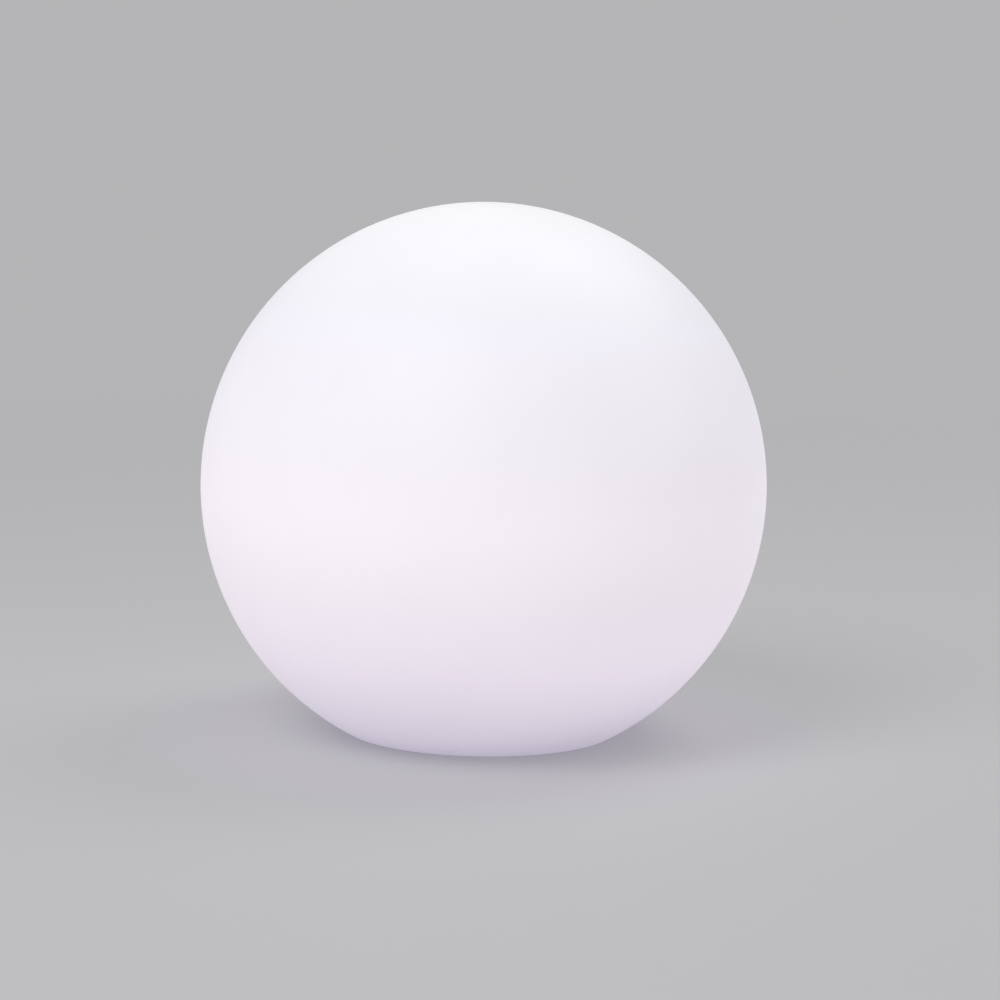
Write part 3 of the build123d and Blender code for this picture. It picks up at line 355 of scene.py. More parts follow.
def axis_of(tree, name):
    """One coordinate of the surface: X, Y or Z."""
    node = put(tree, "ShaderNodeSeparateXYZ")
    tree.links.new(places(tree), node.inputs["Vector"])
    return node.outputs[name]


def noise(tree, scale, detail=2.0, roughness=0.5, stretch=None):
    """A noise on the piece's own coordinates, its scale per metre, drawn out along an axis by stretch."""
    where = places(tree)
    if stretch:
        mapping = put(tree, "ShaderNodeMapping")
        tree.links.new(where, mapping.inputs["Vector"])
        mapping.inputs["Scale"].default_value = stretch
        where = mapping.outputs["Vector"]
    node = put(tree, "ShaderNodeTexNoise")
    tree.links.new(where, node.inputs["Vector"])
    feed(tree, node.inputs["Scale"], scale)
    node.inputs["Detail"].default_value = detail
    node.inputs["Roughness"].default_value = roughness
    return node.outputs["Fac"]


def raised(tree, height, depth):
    """A normal that raises the surface by a height map, depth in metres."""
    node = put(tree, "ShaderNodeBump")
    node.inputs["Distance"].default_value = depth
    tree.links.new(height, node.inputs["Height"])
    return node.outputs["Normal"]


def towards(colour, end, share):
    """A colour with this share of the way gone towards an end: 0 is black and 1 is white."""
    return tuple(c + (end - c) * share for c in colour)


def new_finish(name, **plain):
    """A material and its shader, with the sockets that are the same all over set by name."""
    material = bpy.data.materials.new(name)
    material.use_nodes = True
    tree = material.node_tree
    surface = tree.nodes["Principled BSDF"]
    for socket, value in plain.items():
        surface.inputs[socket.replace("_", " ")].default_value = value
    return material, tree, surface


def dress(tree, surface, colour, roughness, height, depth):
    """Links the colour, roughness and relief that change over the surface."""
    tree.links.new(colour, surface.inputs["Base Color"])
    tree.links.new(roughness, surface.inputs["Roughness"])
    tree.links.new(raised(tree, height, depth), surface.inputs["Normal"])


# ------------------------------------------------------------------ effects that several finishes share

scratch_scale = 240.0


def new_effect(name, inputs, outputs):
    """A node group of numbers in and masks or heights out."""
    group = bpy.data.node_groups.new(name, "ShaderNodeTree")
    for label in inputs:
        group.interface.new_socket(name=label, in_out="INPUT", socket_type="NodeSocketFloat")
    for label in outputs:
        group.interface.new_socket(name=label, in_out="OUTPUT", socket_type="NodeSocketFloat")
    return group, put(group, "NodeGroupInput"), put(group, "NodeGroupOutput")


def place_effect(tree, group, **values):
    """A shared effect with its own values, its outputs by name."""
    node = put(tree, "ShaderNodeGroup", node_tree=group)
    for name, value in values.items():
        node.inputs[name.replace("_", " ")].default_value = value
    return node.outputs


def make_grain():
    """The grain that a tool's face leaves in a moulding, and a slow mottle where it cooled unevenly."""
    group, given, out = new_effect("moulded grain", ["Grain", "Mottle"], ["Height", "Patches"])
    fine = noise(group, given.outputs["Grain"], detail=3.0, roughness=0.55)
    slow = noise(group, given.outputs["Mottle"])
    group.links.new(fine, out.inputs["Height"])
    group.links.new(wander(group, slow), out.inputs["Patches"])
    return group


def make_rub():
    """Where handling rubs an edge: 1 on worn stretches of edge, 0 on flats."""
    group, given, out = new_effect("rubbed edges", ["Width", "Amount"], ["Mask"])
    rounded = put(group, "ShaderNodeBevel", samples=4)
    group.links.new(given.outputs["Width"], rounded.inputs["Radius"])
    meet = put(group, "ShaderNodeVectorMath", operation="DOT_PRODUCT")
    group.links.new(rounded.outputs["Normal"], meet.inputs[0])
    group.links.new(put(group, "ShaderNodeNewGeometry").outputs["Normal"], meet.inputs[1])
    # Cosines: rubbing starts where the rounded edge leans 8 degrees off its face and is full at 32
    edge = remap(group, meet.outputs["Value"], 0.99, 0.85)
    stretches = remap(group, noise(group, 350.0, detail=4.0), 0.42, 0.62)
    worn = maths(group, "MULTIPLY", edge, stretches)
    worn = maths(group, "MULTIPLY", worn, given.outputs["Amount"], clamp=True)
    group.links.new(worn, out.inputs["Mask"])
    return group


def make_scuff():
    """Short fine scratches that cross each other, as a surface gets from being set down."""
    group, given, out = new_effect("fine scuffs", ["Amount"], ["Mask"])
    one_way = noise(group, scratch_scale, detail=3.0, roughness=0.7, stretch=(1.0, 12.0, 1.0))
    other_way = noise(group, scratch_scale, detail=3.0, roughness=0.7, stretch=(9.0, 1.0, 1.0))
    lines = maths(group, "MAXIMUM", remap(group, one_way, 0.62, 0.72), remap(group, other_way, 0.63, 0.72))
    here = remap(group, noise(group, 45.0), 0.4, 0.65)
    scuffed = maths(group, "MULTIPLY", lines, here)
    scuffed = maths(group, "MULTIPLY", scuffed, given.outputs["Amount"], clamp=True)
    group.links.new(scuffed, out.inputs["Mask"])
    return group


grain = make_grain()
rub = make_rub()
scuff = make_scuff()

# ------------------------------------------------------------------ finishes

# The light through the globe's wall, by the share of the globe's height, as colours of one strength
globe_glow = {
    0.00: (0.58, 0.53, 0.66),
    0.16: (0.91, 0.80, 0.94),
    0.32: (0.97, 0.87, 0.97),
    0.50: (0.92, 0.84, 0.92),
    0.78: (0.655, 0.635, 0.715),
    1.00: (0.555, 0.575, 0.565),
}
globe_glow_strength = 0.44
# The share of that glow that the wall shows on its inside
inside_glow = 0.55
# How far the wall's line of sight passes its centre, each way, while the glow changes over
turn_within = 2.0 * mm


def through_wall(tree, ramp_stops, low, high):
    """A glow that changes with height from low to high."""
    ramp = put(tree, "ShaderNodeValToRGB")
    ramp.color_ramp.interpolation = "CARDINAL"
    stops = ramp.color_ramp.elements
    while len(stops) < len(ramp_stops):
        stops.new(0.5)
    for stop, (place, colour) in zip(stops, ramp_stops.items()):
        stop.position = place
        stop.color = (*colour, 1)
    tree.links.new(remap(tree, axis_of(tree, "Z"), low, high), ramp.inputs["Fac"])
    return ramp.outputs["Color"]


def outward(tree, centre, inside):
    """1 where a ball's wall looks away from its centre, and the inside share where it looks in."""
    from_centre = put(tree, "ShaderNodeVectorMath", operation="SUBTRACT")
    tree.links.new(places(tree), from_centre.inputs[0])
    from_centre.inputs[1].default_value = centre
    meet = put(tree, "ShaderNodeVectorMath", operation="DOT_PRODUCT")
    tree.links.new(from_centre.outputs["Vector"], meet.inputs[0])
    tree.links.new(put(tree, "ShaderNodeTexCoord").outputs["Normal"], meet.inputs[1])
    return remap(tree, meet.outputs["Value"], -turn_within, turn_within, inside, 1.0)


def globe_white():
    """Matte white polyethylene in one moulded wall, lit from within, dimmer and more lavender low down."""
    material, tree, surface = new_finish(
        "white polyethylene, lit", Emission_Strength=globe_glow_strength, IOR=1.5, Specular_IOR_Level=0.5
    )
    low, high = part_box("globe_shell")
    glow = through_wall(tree, globe_glow, low.z, high.z)
    # The wall's thickness wanders a little, so the light through it does too
    wall = wander(tree, noise(tree, 9.0), 0.985, 1.0)
    share = maths(tree, "MULTIPLY", wall, outward(tree, (0, 0, high.z - reach("globe_shell")), inside_glow))
    tree.links.new(blend(tree, 1.0, glow, share, "MULTIPLY"), surface.inputs["Emission Color"])
    skin = place_effect(tree, grain, Grain=1400.0, Mottle=25.0)
    paint = blend(tree, skin["Patches"], (0.885, 0.865, 0.910), (0.905, 0.885, 0.930))
    dress(tree, surface, paint, between(tree, skin["Patches"], 0.49, 0.56), skin["Height"], 0.012 * mm)
    return material


# The same for the diffuser, by the share of its own height
dome_glow = {
    0.00: (0.42, 0.41, 0.42),
    0.25: (0.66, 0.65, 0.64),
    0.70: (0.84, 0.83, 0.81),
    1.00: (0.84, 0.83, 0.81),
}
dome_glow_strength = 0.6


def dome_milky():
    """Milky diffuser over the lamps, with a soft gloss: the glow is fullest over them."""
    material, tree, surface = new_finish(
        "milky diffuser, lit", Emission_Strength=dome_glow_strength, IOR=1.49
    )
    low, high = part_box("light_dome")
    tree.links.new(through_wall(tree, dome_glow, low.z, high.z), surface.inputs["Emission Color"])
    skin = place_effect(tree, grain, Grain=500.0, Mottle=40.0)
    paint = blend(tree, skin["Patches"], (0.74, 0.74, 0.73), (0.78, 0.78, 0.77))
    dress(tree, surface, paint, between(tree, skin["Patches"], 0.24, 0.33), skin["Height"], 0.004 * mm)
    return material


def moulded(name, colour, rough, grain_size, grain_depth, wear=0.5):
    """A grained moulding, paler and smoother where its edges are rubbed, with a few scuffs."""
    material, tree, surface = new_finish(name, IOR=1.5)
    skin = place_effect(tree, grain, Grain=grain_size, Mottle=45.0)
    worn = place_effect(tree, rub, Width=0.35 * mm, Amount=wear)["Mask"]
    marks = place_effect(tree, scuff, Amount=0.3)["Mask"]
    pale = towards(colour, 1, 0.25)
    paint = blend(tree, skin["Patches"], towards(colour, 0, 0.06), colour)
    paint = blend(tree, worn, paint, pale)
    paint = blend(tree, maths(tree, "MULTIPLY", marks, 0.35), paint, pale)
    roughness = between(tree, skin["Patches"], rough + 0.06, rough - 0.04)
    roughness = maths(tree, "SUBTRACT", roughness, maths(tree, "MULTIPLY", worn, 0.15))
    roughness = maths(tree, "ADD", roughness, maths(tree, "MULTIPLY", marks, 0.2), clamp=True)
    dress(tree, surface, paint, roughness, skin["Height"], grain_depth)
    return material


def soft_rubber(name, colour, rough, grain_size, grain_depth, scuffs=0.5):
    """Silicone or rubber: matte with a soft sheen, and greyed where it is scuffed."""
    material, tree, surface = new_finish(name, IOR=1.45, Sheen_Weight=0.15, Sheen_Roughness=0.5)
    skin = place_effect(tree, grain, Grain=grain_size, Mottle=120.0)
    marks = place_effect(tree, scuff, Amount=scuffs)["Mask"]
    paint = blend(tree, skin["Patches"], colour, towards(colour, 1, 0.06))
    paint = blend(tree, marks, paint, towards(colour, 0.5, 0.3))
    roughness = between(tree, skin["Patches"], rough - 0.06, rough + 0.08)
    dress(tree, surface, paint, roughness, skin["Height"], grain_depth)
    return material


def plated(name, colour, rough, stretch, line_depth):
    """Plated or rolled metal with fine drawn lines, brighter on its rubbed edges."""
    material, tree, surface = new_finish(name, Metallic=1.0)
    lines = noise(tree, 900.0, detail=4.0, roughness=0.6, stretch=stretch)
    worn = place_effect(tree, rub, Width=0.15 * mm, Amount=0.8)["Mask"]
    paint = blend(tree, lines, towards(colour, 0, 0.18), colour)
    paint = blend(tree, worn, paint, tuple(min(1.0, c * 1.15) for c in colour))
    dress(tree, surface, paint, wander(tree, lines, rough - 0.07, rough + 0.1), lines, line_depth)
    return material


def even_lines(tree, pitch, **kind):
    """Even lines or rings, one to each pitch: 1 on a line and 0 half way to the next."""
    lines = put(tree, "ShaderNodeTexWave", **kind)
    tree.links.new(places(tree), lines.inputs["Vector"])
    # The texture draws 20 / (2 pi) lines to each unit of its scale
    lines.inputs["Scale"].default_value = 2 * pi / (20 * pitch)
    return lines.outputs["Fac"]


tracks_in_a_field = 6


def circuit_board(name, mask_colour, track_colour, track_pitch):
    """Solder mask over copper: fields of tracks one way or the other, and fields of solid copper."""
    material, tree, surface = new_finish(name, Coat_Weight=0.3, Coat_Roughness=0.15)
    fields = put(tree, "ShaderNodeTexVoronoi", distance="CHEBYCHEV")
    tree.links.new(places(tree), fields.inputs["Vector"])
    fields.inputs["Scale"].default_value = 1 / (tracks_in_a_field * track_pitch)
    chance = put(tree, "ShaderNodeSeparateColor")
    tree.links.new(fields.outputs["Color"], chance.inputs["Color"])
    along = even_lines(tree, track_pitch, bands_direction="Y")
    across = even_lines(tree, track_pitch, bands_direction="X")
    turned = remap(tree, chance.outputs["Red"], 0.60, 0.61)
    lines = blend(tree, turned, along, across)
    tracks = remap(tree, lines, 0.45, 0.65)
    tracks = maths(tree, "MAXIMUM", tracks, remap(tree, chance.outputs["Green"], 0.75, 0.76))
    skin = place_effect(tree, grain, Grain=2600.0, Mottle=200.0)
    paint = blend(tree, tracks, mask_colour, track_colour)
    paint = blend(tree, maths(tree, "MULTIPLY", skin["Patches"], 0.12), paint, (0.6, 0.62, 0.58))
    dress(tree, surface, paint, between(tree, skin["Patches"], 0.28, 0.42), tracks, 0.03 * mm)
    return material


def lamp_board(ring_pitch):
    """White solder mask over the wide copper rings that join the lamps, with thin gaps between them."""
    material, tree, surface = new_finish("white board", Coat_Weight=0.3, Coat_Roughness=0.15)
    rings = even_lines(tree, ring_pitch, wave_type="RINGS", rings_direction="Z")
    copper = remap(tree, rings, 0.01, 0.05)
    skin = place_effect(tree, grain, Grain=2600.0, Mottle=200.0)
    paint = blend(tree, copper, (0.66, 0.665, 0.655), (0.80, 0.80, 0.79))
    paint = blend(tree, maths(tree, "MULTIPLY", skin["Patches"], 0.12), paint, (0.72, 0.71, 0.66))
    dress(tree, surface, paint, between(tree, skin["Patches"], 0.28, 0.42), copper, 0.035 * mm)
    return material


def brass():
    """Turned brass, its outside knurled to grip the plastic."""
    material, tree, surface = new_finish("turned brass", Metallic=1.0)
    knurl = put(tree, "ShaderNodeTexWave", bands_direction="DIAGONAL")
    tree.links.new(places(tree), knurl.inputs["Vector"])
    knurl.inputs["Scale"].default_value = 500.0
    knurl.inputs["Distortion"].default_value = 0.4
    tone = noise(tree, 400.0, detail=3.0)
    paint = blend(tree, tone, (0.62, 0.44, 0.17), (0.83, 0.64, 0.30))
    dress(tree, surface, paint, wander(tree, tone, 0.24, 0.42), knurl.outputs["Fac"], 0.06 * mm)
    return material


bare_cell_end = 1.6 * mm
film_edge = 0.3 * mm


def cell_sleeve():
    """Shrink film over the battery cells, with bare metal where the film ends."""
    material, tree, surface = new_finish("cell film", Coat_Weight=0.5, Coat_Roughness=0.12)
    film_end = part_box("battery_cells")[1].x - bare_cell_end
    along = maths(tree, "ABSOLUTE", axis_of(tree, "X"), 0.0)
    bare = remap(tree, along, film_end, film_end + film_edge)
    crinkle = noise(tree, 160.0, detail=4.0, stretch=(0.35, 1.0, 1.0))
    film = blend(tree, crinkle, (0.05, 0.17, 0.42), (0.09, 0.27, 0.58))
    tree.links.new(bare, surface.inputs["Metallic"])
    paint = blend(tree, bare, film, (0.72, 0.73, 0.75))
    dress(tree, surface, paint, wander(tree, crinkle, 0.22, 0.38), crinkle, 0.08 * mm)
    return material


def foam_black():
    """Closed-cell foam with small round pores, each painted darker towards its middle as shade in its
    hollow.
    """
    material, tree, surface = new_finish("black foam")
    pores = put(tree, "ShaderNodeTexVoronoi")
    tree.links.new(places(tree), pores.inputs["Vector"])
    pores.inputs["Scale"].default_value = 1300.0
    depth = pores.outputs["Distance"]
    # Painted shade: the colour darkens towards each pore's middle, where the relief sinks deepest
    paint = blend(tree, depth, (0.025, 0.025, 0.026), (0.09, 0.09, 0.095))
    dress(tree, surface, paint, between(tree, depth, 0.95, 0.8), depth, 0.25 * mm)
    return material


def lamp_phosphor():
    """Lamp package, lit: yellow filling that glows warm white."""
    material, tree, surface = new_finish("lamp filling, lit", Emission_Strength=0.7)
    tone = noise(tree, 1500.0)
    glow = blend(tree, tone, (1.0, 0.80, 0.42), (1.0, 0.92, 0.62))
    tree.links.new(glow, surface.inputs["Emission Color"])
    paint = blend(tree, tone, (0.85, 0.72, 0.30), (0.95, 0.84, 0.42))
    dress(tree, surface, paint, between(tree, tone, 0.3, 0.5), tone, 0.02 * mm)
    return material


def pipe_clear():
    """Clear moulded light pipe with a finely ground end."""
    material, tree, surface = new_finish("clear light pipe", Transmission_Weight=1.0, IOR=1.49)
    frost = noise(tree, 2200.0, detail=3.0)
    paint = blend(tree, frost, (0.92, 0.95, 0.97), (1.0, 1.0, 1.0))
    dress(tree, surface, paint, wander(tree, frost, 0.12, 0.3), frost, 0.01 * mm)
    return material


# A moulding or a rubber: name, colour, roughness, its grain to the metre and the grain's depth.
# A plated metal: name, colour, roughness, how its lines are drawn out along X, Y and Z, and their depth.
finishes = {
    "globe_white": globe_white(),
    "casing_white": moulded("white casing", (0.80, 0.80, 0.81), 0.46, 1700.0, 0.018 * mm),
    "collar_white": moulded("white collar", (0.83, 0.83, 0.84), 0.42, 1500.0, 0.012 * mm),
    "seal_grey": soft_rubber("grey silicone", (0.085, 0.09, 0.10), 0.62, 900.0, 0.01 * mm),
    "foot_grey": soft_rubber("foot rubber", (0.028, 0.028, 0.03), 0.78, 700.0, 0.03 * mm, scuffs=1.0),
    "button_grey": soft_rubber("button silicone", (0.27, 0.28, 0.30), 0.55, 1200.0, 0.01 * mm),
    "dome_milky": dome_milky(),
    "steel": plated("zinc plated steel", (0.62, 0.62, 0.64), 0.28, (1.0, 1.0, 6.0), 0.006 * mm),
    "brass": brass(),
    "board_green": circuit_board("green board", (0.012, 0.10, 0.045), (0.03, 0.19, 0.085), 1.1 * mm),
    "board_white": lamp_board(4.6 * mm),
    "chip_black": moulded("black epoxy", (0.018, 0.018, 0.02), 0.5, 2400.0, 0.01 * mm, wear=0.3),
    "ferrite": moulded("ferrite", (0.05, 0.05, 0.055), 0.6, 1800.0, 0.03 * mm, wear=0.4),
    "can_metal": plated("bright can", (0.75, 0.76, 0.78), 0.25, (1.0, 1.0, 12.0), 0.003 * mm),
    "cell_sleeve": cell_sleeve(),
    "nickel": plated("nickel strip", (0.60, 0.57, 0.52), 0.3, (1.0, 10.0, 1.0), 0.004 * mm),
    "foam_black": foam_black(),
    "plug_white": moulded("nylon", (0.80, 0.77, 0.69), 0.38, 1400.0, 0.006 * mm, wear=0.2),
    "wire_red": soft_rubber("red insulation", (0.45, 0.012, 0.010), 0.42, 1600.0, 0.004 * mm),
    "wire_black": soft_rubber("black insulation", (0.012, 0.012, 0.012), 0.42, 1600.0, 0.004 * mm),
    "lamp_phosphor": lamp_phosphor(),
    "pipe_clear": pipe_clear(),
}

for name, node in nodes.items():
    node.data.materials.clear()
    node.data.materials.append(finishes[slot_of[name]])

# ------------------------------------------------------------------ the globe


def globe_outline(base, top, recess_top, floor, recess_radius, neck_radius):
    """The whole wall in one line: skin, flat base rim, recess for the light unit, neck and inside."""
    radius = reach("globe_shell")
    centre = (0, top - radius)
    inner_radius = radius - globe_wall
    pocket_floor = base + base_rim_thickness
    rim_inside = recess_radius + globe_wall
    edge_height = base + base_edge_radius
    edge_turn = -degrees(asin((centre[1] - edge_height) / (radius - base_edge_radius)))
    edge_out = (radius - base_edge_radius) * cos(radians(edge_turn))
    pocket_turn = -degrees(asin((centre[1] - pocket_floor) / inner_radius))
    recess_edge = (recess_radius + recess_edge_radius, base + recess_edge_radius)

    outline = arc(centre, radius, 90, edge_turn, globe_skin_steps)
    outline += arc((edge_out, edge_height), base_edge_radius, edge_turn, -90, globe_edge_steps)[1:]
    outline += arc(recess_edge, recess_edge_radius, -90, -180, globe_edge_steps)
    outline += [(recess_radius, recess_top), (neck_radius, recess_top), (neck_radius, floor)]
    outline += [(rim_inside, floor), (rim_inside, pocket_floor)]
    outline += arc(centre, inner_radius, pocket_turn, 90, globe_inside_steps)
    return outline


def make_globe():
    """The globe, with bosses for the collar's brass inserts on the floor round its neck."""
    low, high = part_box("globe_shell")
    recess_radius = reach("neck_collar") + recess_clearance
    neck_radius = reach("neck_collar") - neck_inset
    recess_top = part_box("collar_gasket")[1].z
    floor = recess_top + globe_wall
    outline = globe_outline(low.z, high.z, recess_top, floor, recess_radius, neck_radius)
    globe = spun("globe", outline, globe_segments)

    circle = (neck_radius + recess_radius) / 2
    turns = [2 * pi * i / boss_count for i in range(boss_count)]
    spots = [(circle * cos(turn), circle * sin(turn)) for turn in turns]
    bosses = round_bars("bosses", spots, boss_radius, floor - globe_wall / 2, floor + boss_height)
    combine(globe, bosses, "UNION")
    pockets = round_bars("pockets", spots, insert_radius, low.z, recess_top + insert_pocket_depth)
    combine(globe, pockets, "DIFFERENCE")
    finish_piece(globe, "globe_white", "globe", ["globe_shell"])


def make_dome():
    """The diffuser: a flange for its gasket and ring, a short straight wall and a half ball."""
    low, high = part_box("light_dome")
    flange = reach("light_dome")
    radius = flange - dome_lip
    inner_radius = radius - dome_wall
    flange_top = low.z + dome_flange_thickness
    spring = (0, high.z - radius)
    outline = arc(spring, radius, 90, 0, dome_skin_steps)
    outline += arc((radius + dome_edge, flange_top + dome_edge), dome_edge, -180, -90, dome_edge_steps)
    outline += arc((flange - dome_edge, flange_top - dome_edge), dome_edge, 90, 0, dome_edge_steps)
    outline += [(flange, low.z), (inner_radius, low.z)]
    outline += arc(spring, inner_radius, 0, 90, dome_inside_steps)
    dome = spun("dome", outline, dome_segments)
    finish_piece(dome, "dome_milky", "light_unit", ["light_dome"])


def make_feet():
    """Rubber feet with two rings moulded into their soles, so that they grip and don't stick."""
    low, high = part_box("foot_pads")
    at = high.x - foot_radius
    outline = [(0, low.z)]
    for circle in foot_groove_circles:
        near = circle - foot_groove_width / 2
        far = circle + foot_groove_width / 2
        outline += [(near, low.z), (near, low.z + foot_groove_depth)]
        outline += [(far, low.z + foot_groove_depth), (far, low.z)]
    outline += arc((foot_radius - foot_edge, low.z + foot_edge), foot_edge, -90, 0, foot_edge_steps)
    outline += [(foot_radius, high.z), (0, high.z)]
    feet = [spun("foot", outline, foot_segments, at=(x, y)) for x in (-at, at) for y in (-at, at)]
    finish_piece(joined("feet", feet), "foot_grey", "light_unit", ["foot_pads"])


make_globe()
make_dome()
make_feet()

# ------------------------------------------------------------------ marks on the underside

arrow_circle = 34.5 * mm
arrow_sweep = 31.0
arrow_head_width = 3.8 * mm
arrow_head_length = 3.0 * mm
arrow_shoulder = 0.3 * mm
lock_turn = 27.0
lock_width = 3.4 * mm
lock_height = 2.6 * mm
lock_bow_radius = 1.1 * mm
lock_bow_width = 0.6 * mm
lock_bow_rise = 0.6 * mm
lock_open_lift = 0.9 * mm
lock_bow_sunk = 0.4 * mm
lock_bow_set_back = 0.03 * mm
power_radius = 2.1 * mm
power_width = 0.5 * mm
power_gap = 70.0
power_bar = 1.9 * mm
power_depth = 0.5 * mm
flap_rib_count = 3
flap_rib_first = 1.6 * mm
flap_rib_spacing = 1.3 * mm
flap_rib_width = 0.55 * mm
flap_rib_length = 7.0 * mm
strip_step_degrees = 5
strip_least_segments = 8
bow_segments = 16
# How far the arrow's end is drawn together, and how near the axis a face counts as its end
arrow_point = 0.0001
arrow_end_within = 0.01 * mm


def bent_strip(name, circle, width, bottom, top, start, sweep):
    """A flat strip bent along part of a circle."""
    near = circle - width / 2
    far = circle + width / 2
    outline = [(near, top), (near, bottom), (far, bottom), (far, top), (near, top)]
    segments = max(strip_least_segments, round(abs(sweep) / strip_step_degrees))
    return spun(name, outline, segments, start=start, sweep=sweep)


def turn_arrow(side, way, bottom, top):
    """An arrow along the cover's edge: side is the angle of its middle, way is 1 or -1."""
    sweep = way * arrow_sweep
    arrow = bent_strip("arrow", arrow_circle, mark_width, bottom, top, -sweep, sweep)
    # The strip ends on the X axis, where its end is widened and drawn out to a point
    open_with_faces(
        arrow, lambda face: abs(face.normal.y) > facing and abs(face.center.y) < arrow_end_within
    )
    middle = (arrow_circle, 0, (bottom + top) / 2)
    push((0, way * arrow_shoulder, 0))
    bpy.ops.transform.resize(value=(arrow_head_width / mark_width, 1, 1), center_override=middle)
    push((0, way * arrow_head_length, 0))
    bpy.ops.transform.resize(value=(arrow_point, 1, 1), center_override=middle)
    tidy_open_mesh()
    close_faces()
    arrow.rotation_euler.z = radians(side + sweep / 2)
    return arrow


def lock_bow(base, rise, far_leg, level, height):
    """A padlock's bow, from one leg's foot up, round and down the other leg."""
    bpy.ops.object.select_all(action="DESELECT")
    foot = (base - lock_bow_sunk, -lock_bow_radius, level)
    bpy.ops.mesh.primitive_plane_add(size=1, location=foot, rotation=(0, pi / 2, 0))
    bow = bpy.context.object
    bow.scale = (height, lock_bow_width, 1)
    bpy.ops.object.transform_apply(location=True, rotation=True, scale=True)
    bpy.ops.object.mode_set(mode="EDIT")
    bpy.ops.mesh.select_all(action="SELECT")
    push((rise + lock_bow_sunk, 0, 0))
    bpy.ops.mesh.spin(steps=bow_segments, angle=pi, center=(base + rise, 0, level), axis=spin_axis)
    push((-far_leg, 0, 0))
    tidy_open_mesh()
    bpy.ops.object.mode_set(mode="OBJECT")
    return bow


def padlock(side, opened, bottom, top):
    """A padlock, its bow towards the cover's edge, and drawn out on one leg when opened."""
    level = (bottom + top) / 2
    height = top - bottom
    lock = block((lock_height, lock_width, height), (arrow_circle, 0, level))
    rise = lock_bow_rise + (lock_open_lift if opened else 0)
    far_leg = lock_bow_rise if opened else rise + lock_bow_sunk
    bow = lock_bow(arrow_circle + lock_height / 2, rise, far_leg, level, height - 2 * lock_bow_set_back)
    combine(lock, bow, "UNION")
    lock = joined("padlock", [lock])
    lock.rotation_euler.z = radians(side)
    return lock


def make_turn_marks():
    """Arrows and padlocks moulded on the cover: one way opens the globe, the other closes it."""
    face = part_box("bottom_cover")[0].z
    bottom = face - mark_height + mark_edge
    top = face + mark_sunk
    pieces = [turn_arrow(90, -1, bottom, top), padlock(90 - lock_turn, True, bottom, top)]
    pieces += [turn_arrow(270, 1, bottom, top), padlock(270 + lock_turn, False, bottom, top)]
    marks = joined("turn_marks", pieces)
    chamfer_low_faces(marks, mark_edge)
    finish_piece(marks, "button_grey", "light_unit")


def make_power_mark():
    """A ring with a gap and a bar, set into the button's dished face."""
    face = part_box("power_button")[0].z
    bottom = face + 2 * mark_edge
    top = face + power_depth
    start = 90 + power_gap / 2
    ring = bent_strip("ring", power_radius, power_width, bottom, top, start, 360 - power_gap)
    bar = block((power_width, power_bar, top - bottom), (0, power_radius, (top + bottom) / 2))
    mark = joined("power_mark", [ring, bar])
    chamfer_low_faces(mark, mark_edge)
    finish_piece(mark, "casing_white", "button")


def make_flap_grip():
    """Low ribs across the flap's free end, for a fingernail."""
    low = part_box("port_flap")[0]
    size = (flap_rib_width, flap_rib_length, 2 * mark_height)
    ribs = []
    for i in range(flap_rib_count):
        place = (low.x + flap_rib_first + flap_rib_spacing * i, 0, low.z)
        ribs.append(block(size, place, edge=mark_edge))
    finish_piece(joined("flap_grip", ribs), "seal_grey", "flap")


make_turn_marks()
make_power_mark()
make_flap_grip()

# ------------------------------------------------------------------ studio

backdrop = (0.46, 0.46, 0.47)
sky_high = 0.50
sky_low = 0.34
# The heights in the sky, from -1 under foot to 1 overhead, between which it changes
sky_change_from = -0.2
sky_change_to = 0.8
floor_colour = (0.50, 0.50, 0.51)
floor_lift = (0.11, 0.11, 0.115)
under_glow = 0.42
under_glow_reach = 48 * mm
under_glow_end = 64 * mm
floor_radius = 14.0
floor_sides = 96
floor_fade_start = 0.35
floor_fade_end = 1.8
lamp_aim = Vector((0, 0, 0.13))
lamp_size = 1.3
key_place = (-0.9, -1.2, 1.8)
key_power = 13.0
rim_place = (0.95, 0.7, 1.95)
rim_power = 8.0


def seen_directly(tree):
    """1 for what is seen straight, in a gloss or through something clear, and 0 for light on the object."""
    path = put(tree, "ShaderNodeLightPath").outputs
    seen = maths(tree, "ADD", path["Is Camera Ray"], path["Is Glossy Ray"])
    return maths(tree, "ADD", seen, path["Is Transmission Ray"], clamp=True)


def set_world():
    """Even studio light, a little fuller from above, behind a plain backdrop."""
    world = bpy.data.worlds.new("studio")
    bpy.context.scene.world = world
    world.use_nodes = True
    tree = world.node_tree
    height = put(tree, "ShaderNodeSeparateXYZ")
    tree.links.new(put(tree, "ShaderNodeTexCoord").outputs["Generated"], height.inputs["Vector"])
    share = remap(tree, height.outputs["Z"], sky_change_from, sky_change_to, smoothly=True)
    sky = blend(tree, share, (sky_low,) * 3, (sky_high,) * 3)
    whole = blend(tree, seen_directly(tree), sky, backdrop)
    tree.links.new(whole, tree.nodes["Background"].inputs["Color"])


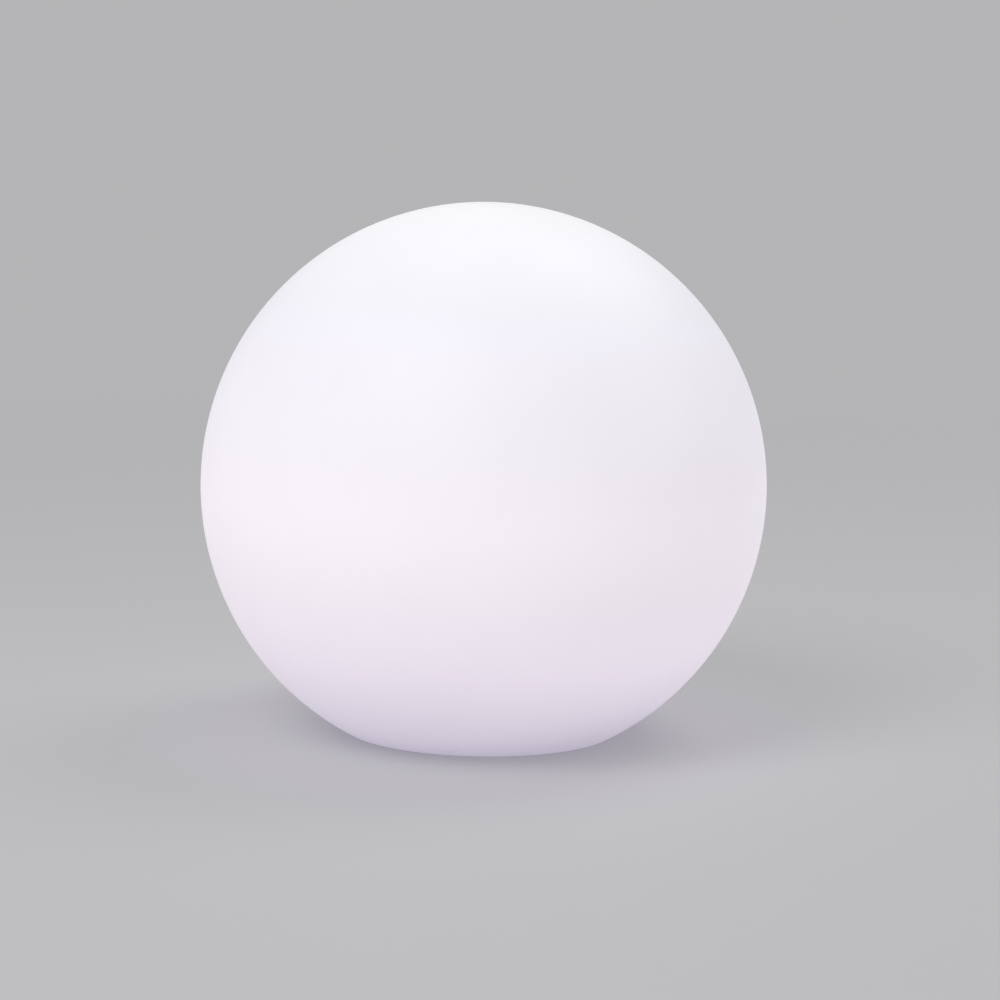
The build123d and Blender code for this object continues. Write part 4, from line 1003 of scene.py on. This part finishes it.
def softbox(name, place, power):
    """A round soft lamp, aimed at the globe's middle."""
    lamp = bpy.data.lights.new(name, "AREA")
    lamp.shape = "DISK"
    lamp.size = lamp_size
    lamp.energy = power
    holder = bpy.data.objects.new(name, lamp)
    bpy.context.scene.collection.objects.link(holder)
    holder.location = place
    holder.rotation_mode = "QUATERNION"
    holder.rotation_quaternion = (lamp_aim - Vector(place)).to_track_quat("-Z", "Y")


def floor_finish():
    """Pale, running into the backdrop further off, a little lit under the object and clear from below."""
    material, tree, surface = new_finish("pale floor", Roughness=0.7, Specular_IOR_Level=0.2)
    surface.inputs["Base Color"].default_value = (*floor_colour, 1)
    distance = put(tree, "ShaderNodeVectorMath", operation="LENGTH")
    tree.links.new(places(tree), distance.inputs[0])
    out = distance.outputs["Value"]
    seen = seen_directly(tree)
    under = remap(tree, out, under_glow_reach, under_glow_end, under_glow, 0.0, smoothly=True)
    lift = put(tree, "ShaderNodeEmission")
    tree.links.new(blend(tree, seen, under, floor_lift), lift.inputs["Color"])
    near = put(tree, "ShaderNodeAddShader")
    tree.links.new(surface.outputs["BSDF"], near.inputs[0])
    tree.links.new(lift.outputs["Emission"], near.inputs[1])
    far = put(tree, "ShaderNodeEmission")
    far.inputs["Color"].default_value = (*backdrop, 1)
    fade = maths(tree, "MULTIPLY", remap(tree, out, floor_fade_start, floor_fade_end, smoothly=True), seen)
    above = two_shaders(tree, fade, near.outputs["Shader"], far.outputs["Emission"])
    clear = put(tree, "ShaderNodeBsdfTransparent").outputs["BSDF"]
    below = put(tree, "ShaderNodeNewGeometry").outputs["Backfacing"]
    tree.links.new(two_shaders(tree, below, above, clear), tree.nodes["Material Output"].inputs["Surface"])
    return material


def make_floor():
    """A wide round floor, not part of the object."""
    bpy.ops.object.select_all(action="DESELECT")
    bpy.ops.mesh.primitive_circle_add(vertices=floor_sides, radius=floor_radius, fill_type="NGON")
    floor = bpy.context.object
    floor.name = "floor"
    floor.data.materials.append(floor_finish())


set_camera()
set_world()
softbox("key_left", key_place, key_power)
softbox("rim_right", rim_place, rim_power)
make_floor()

bpy.context.scene.view_settings.view_transform = "Standard"
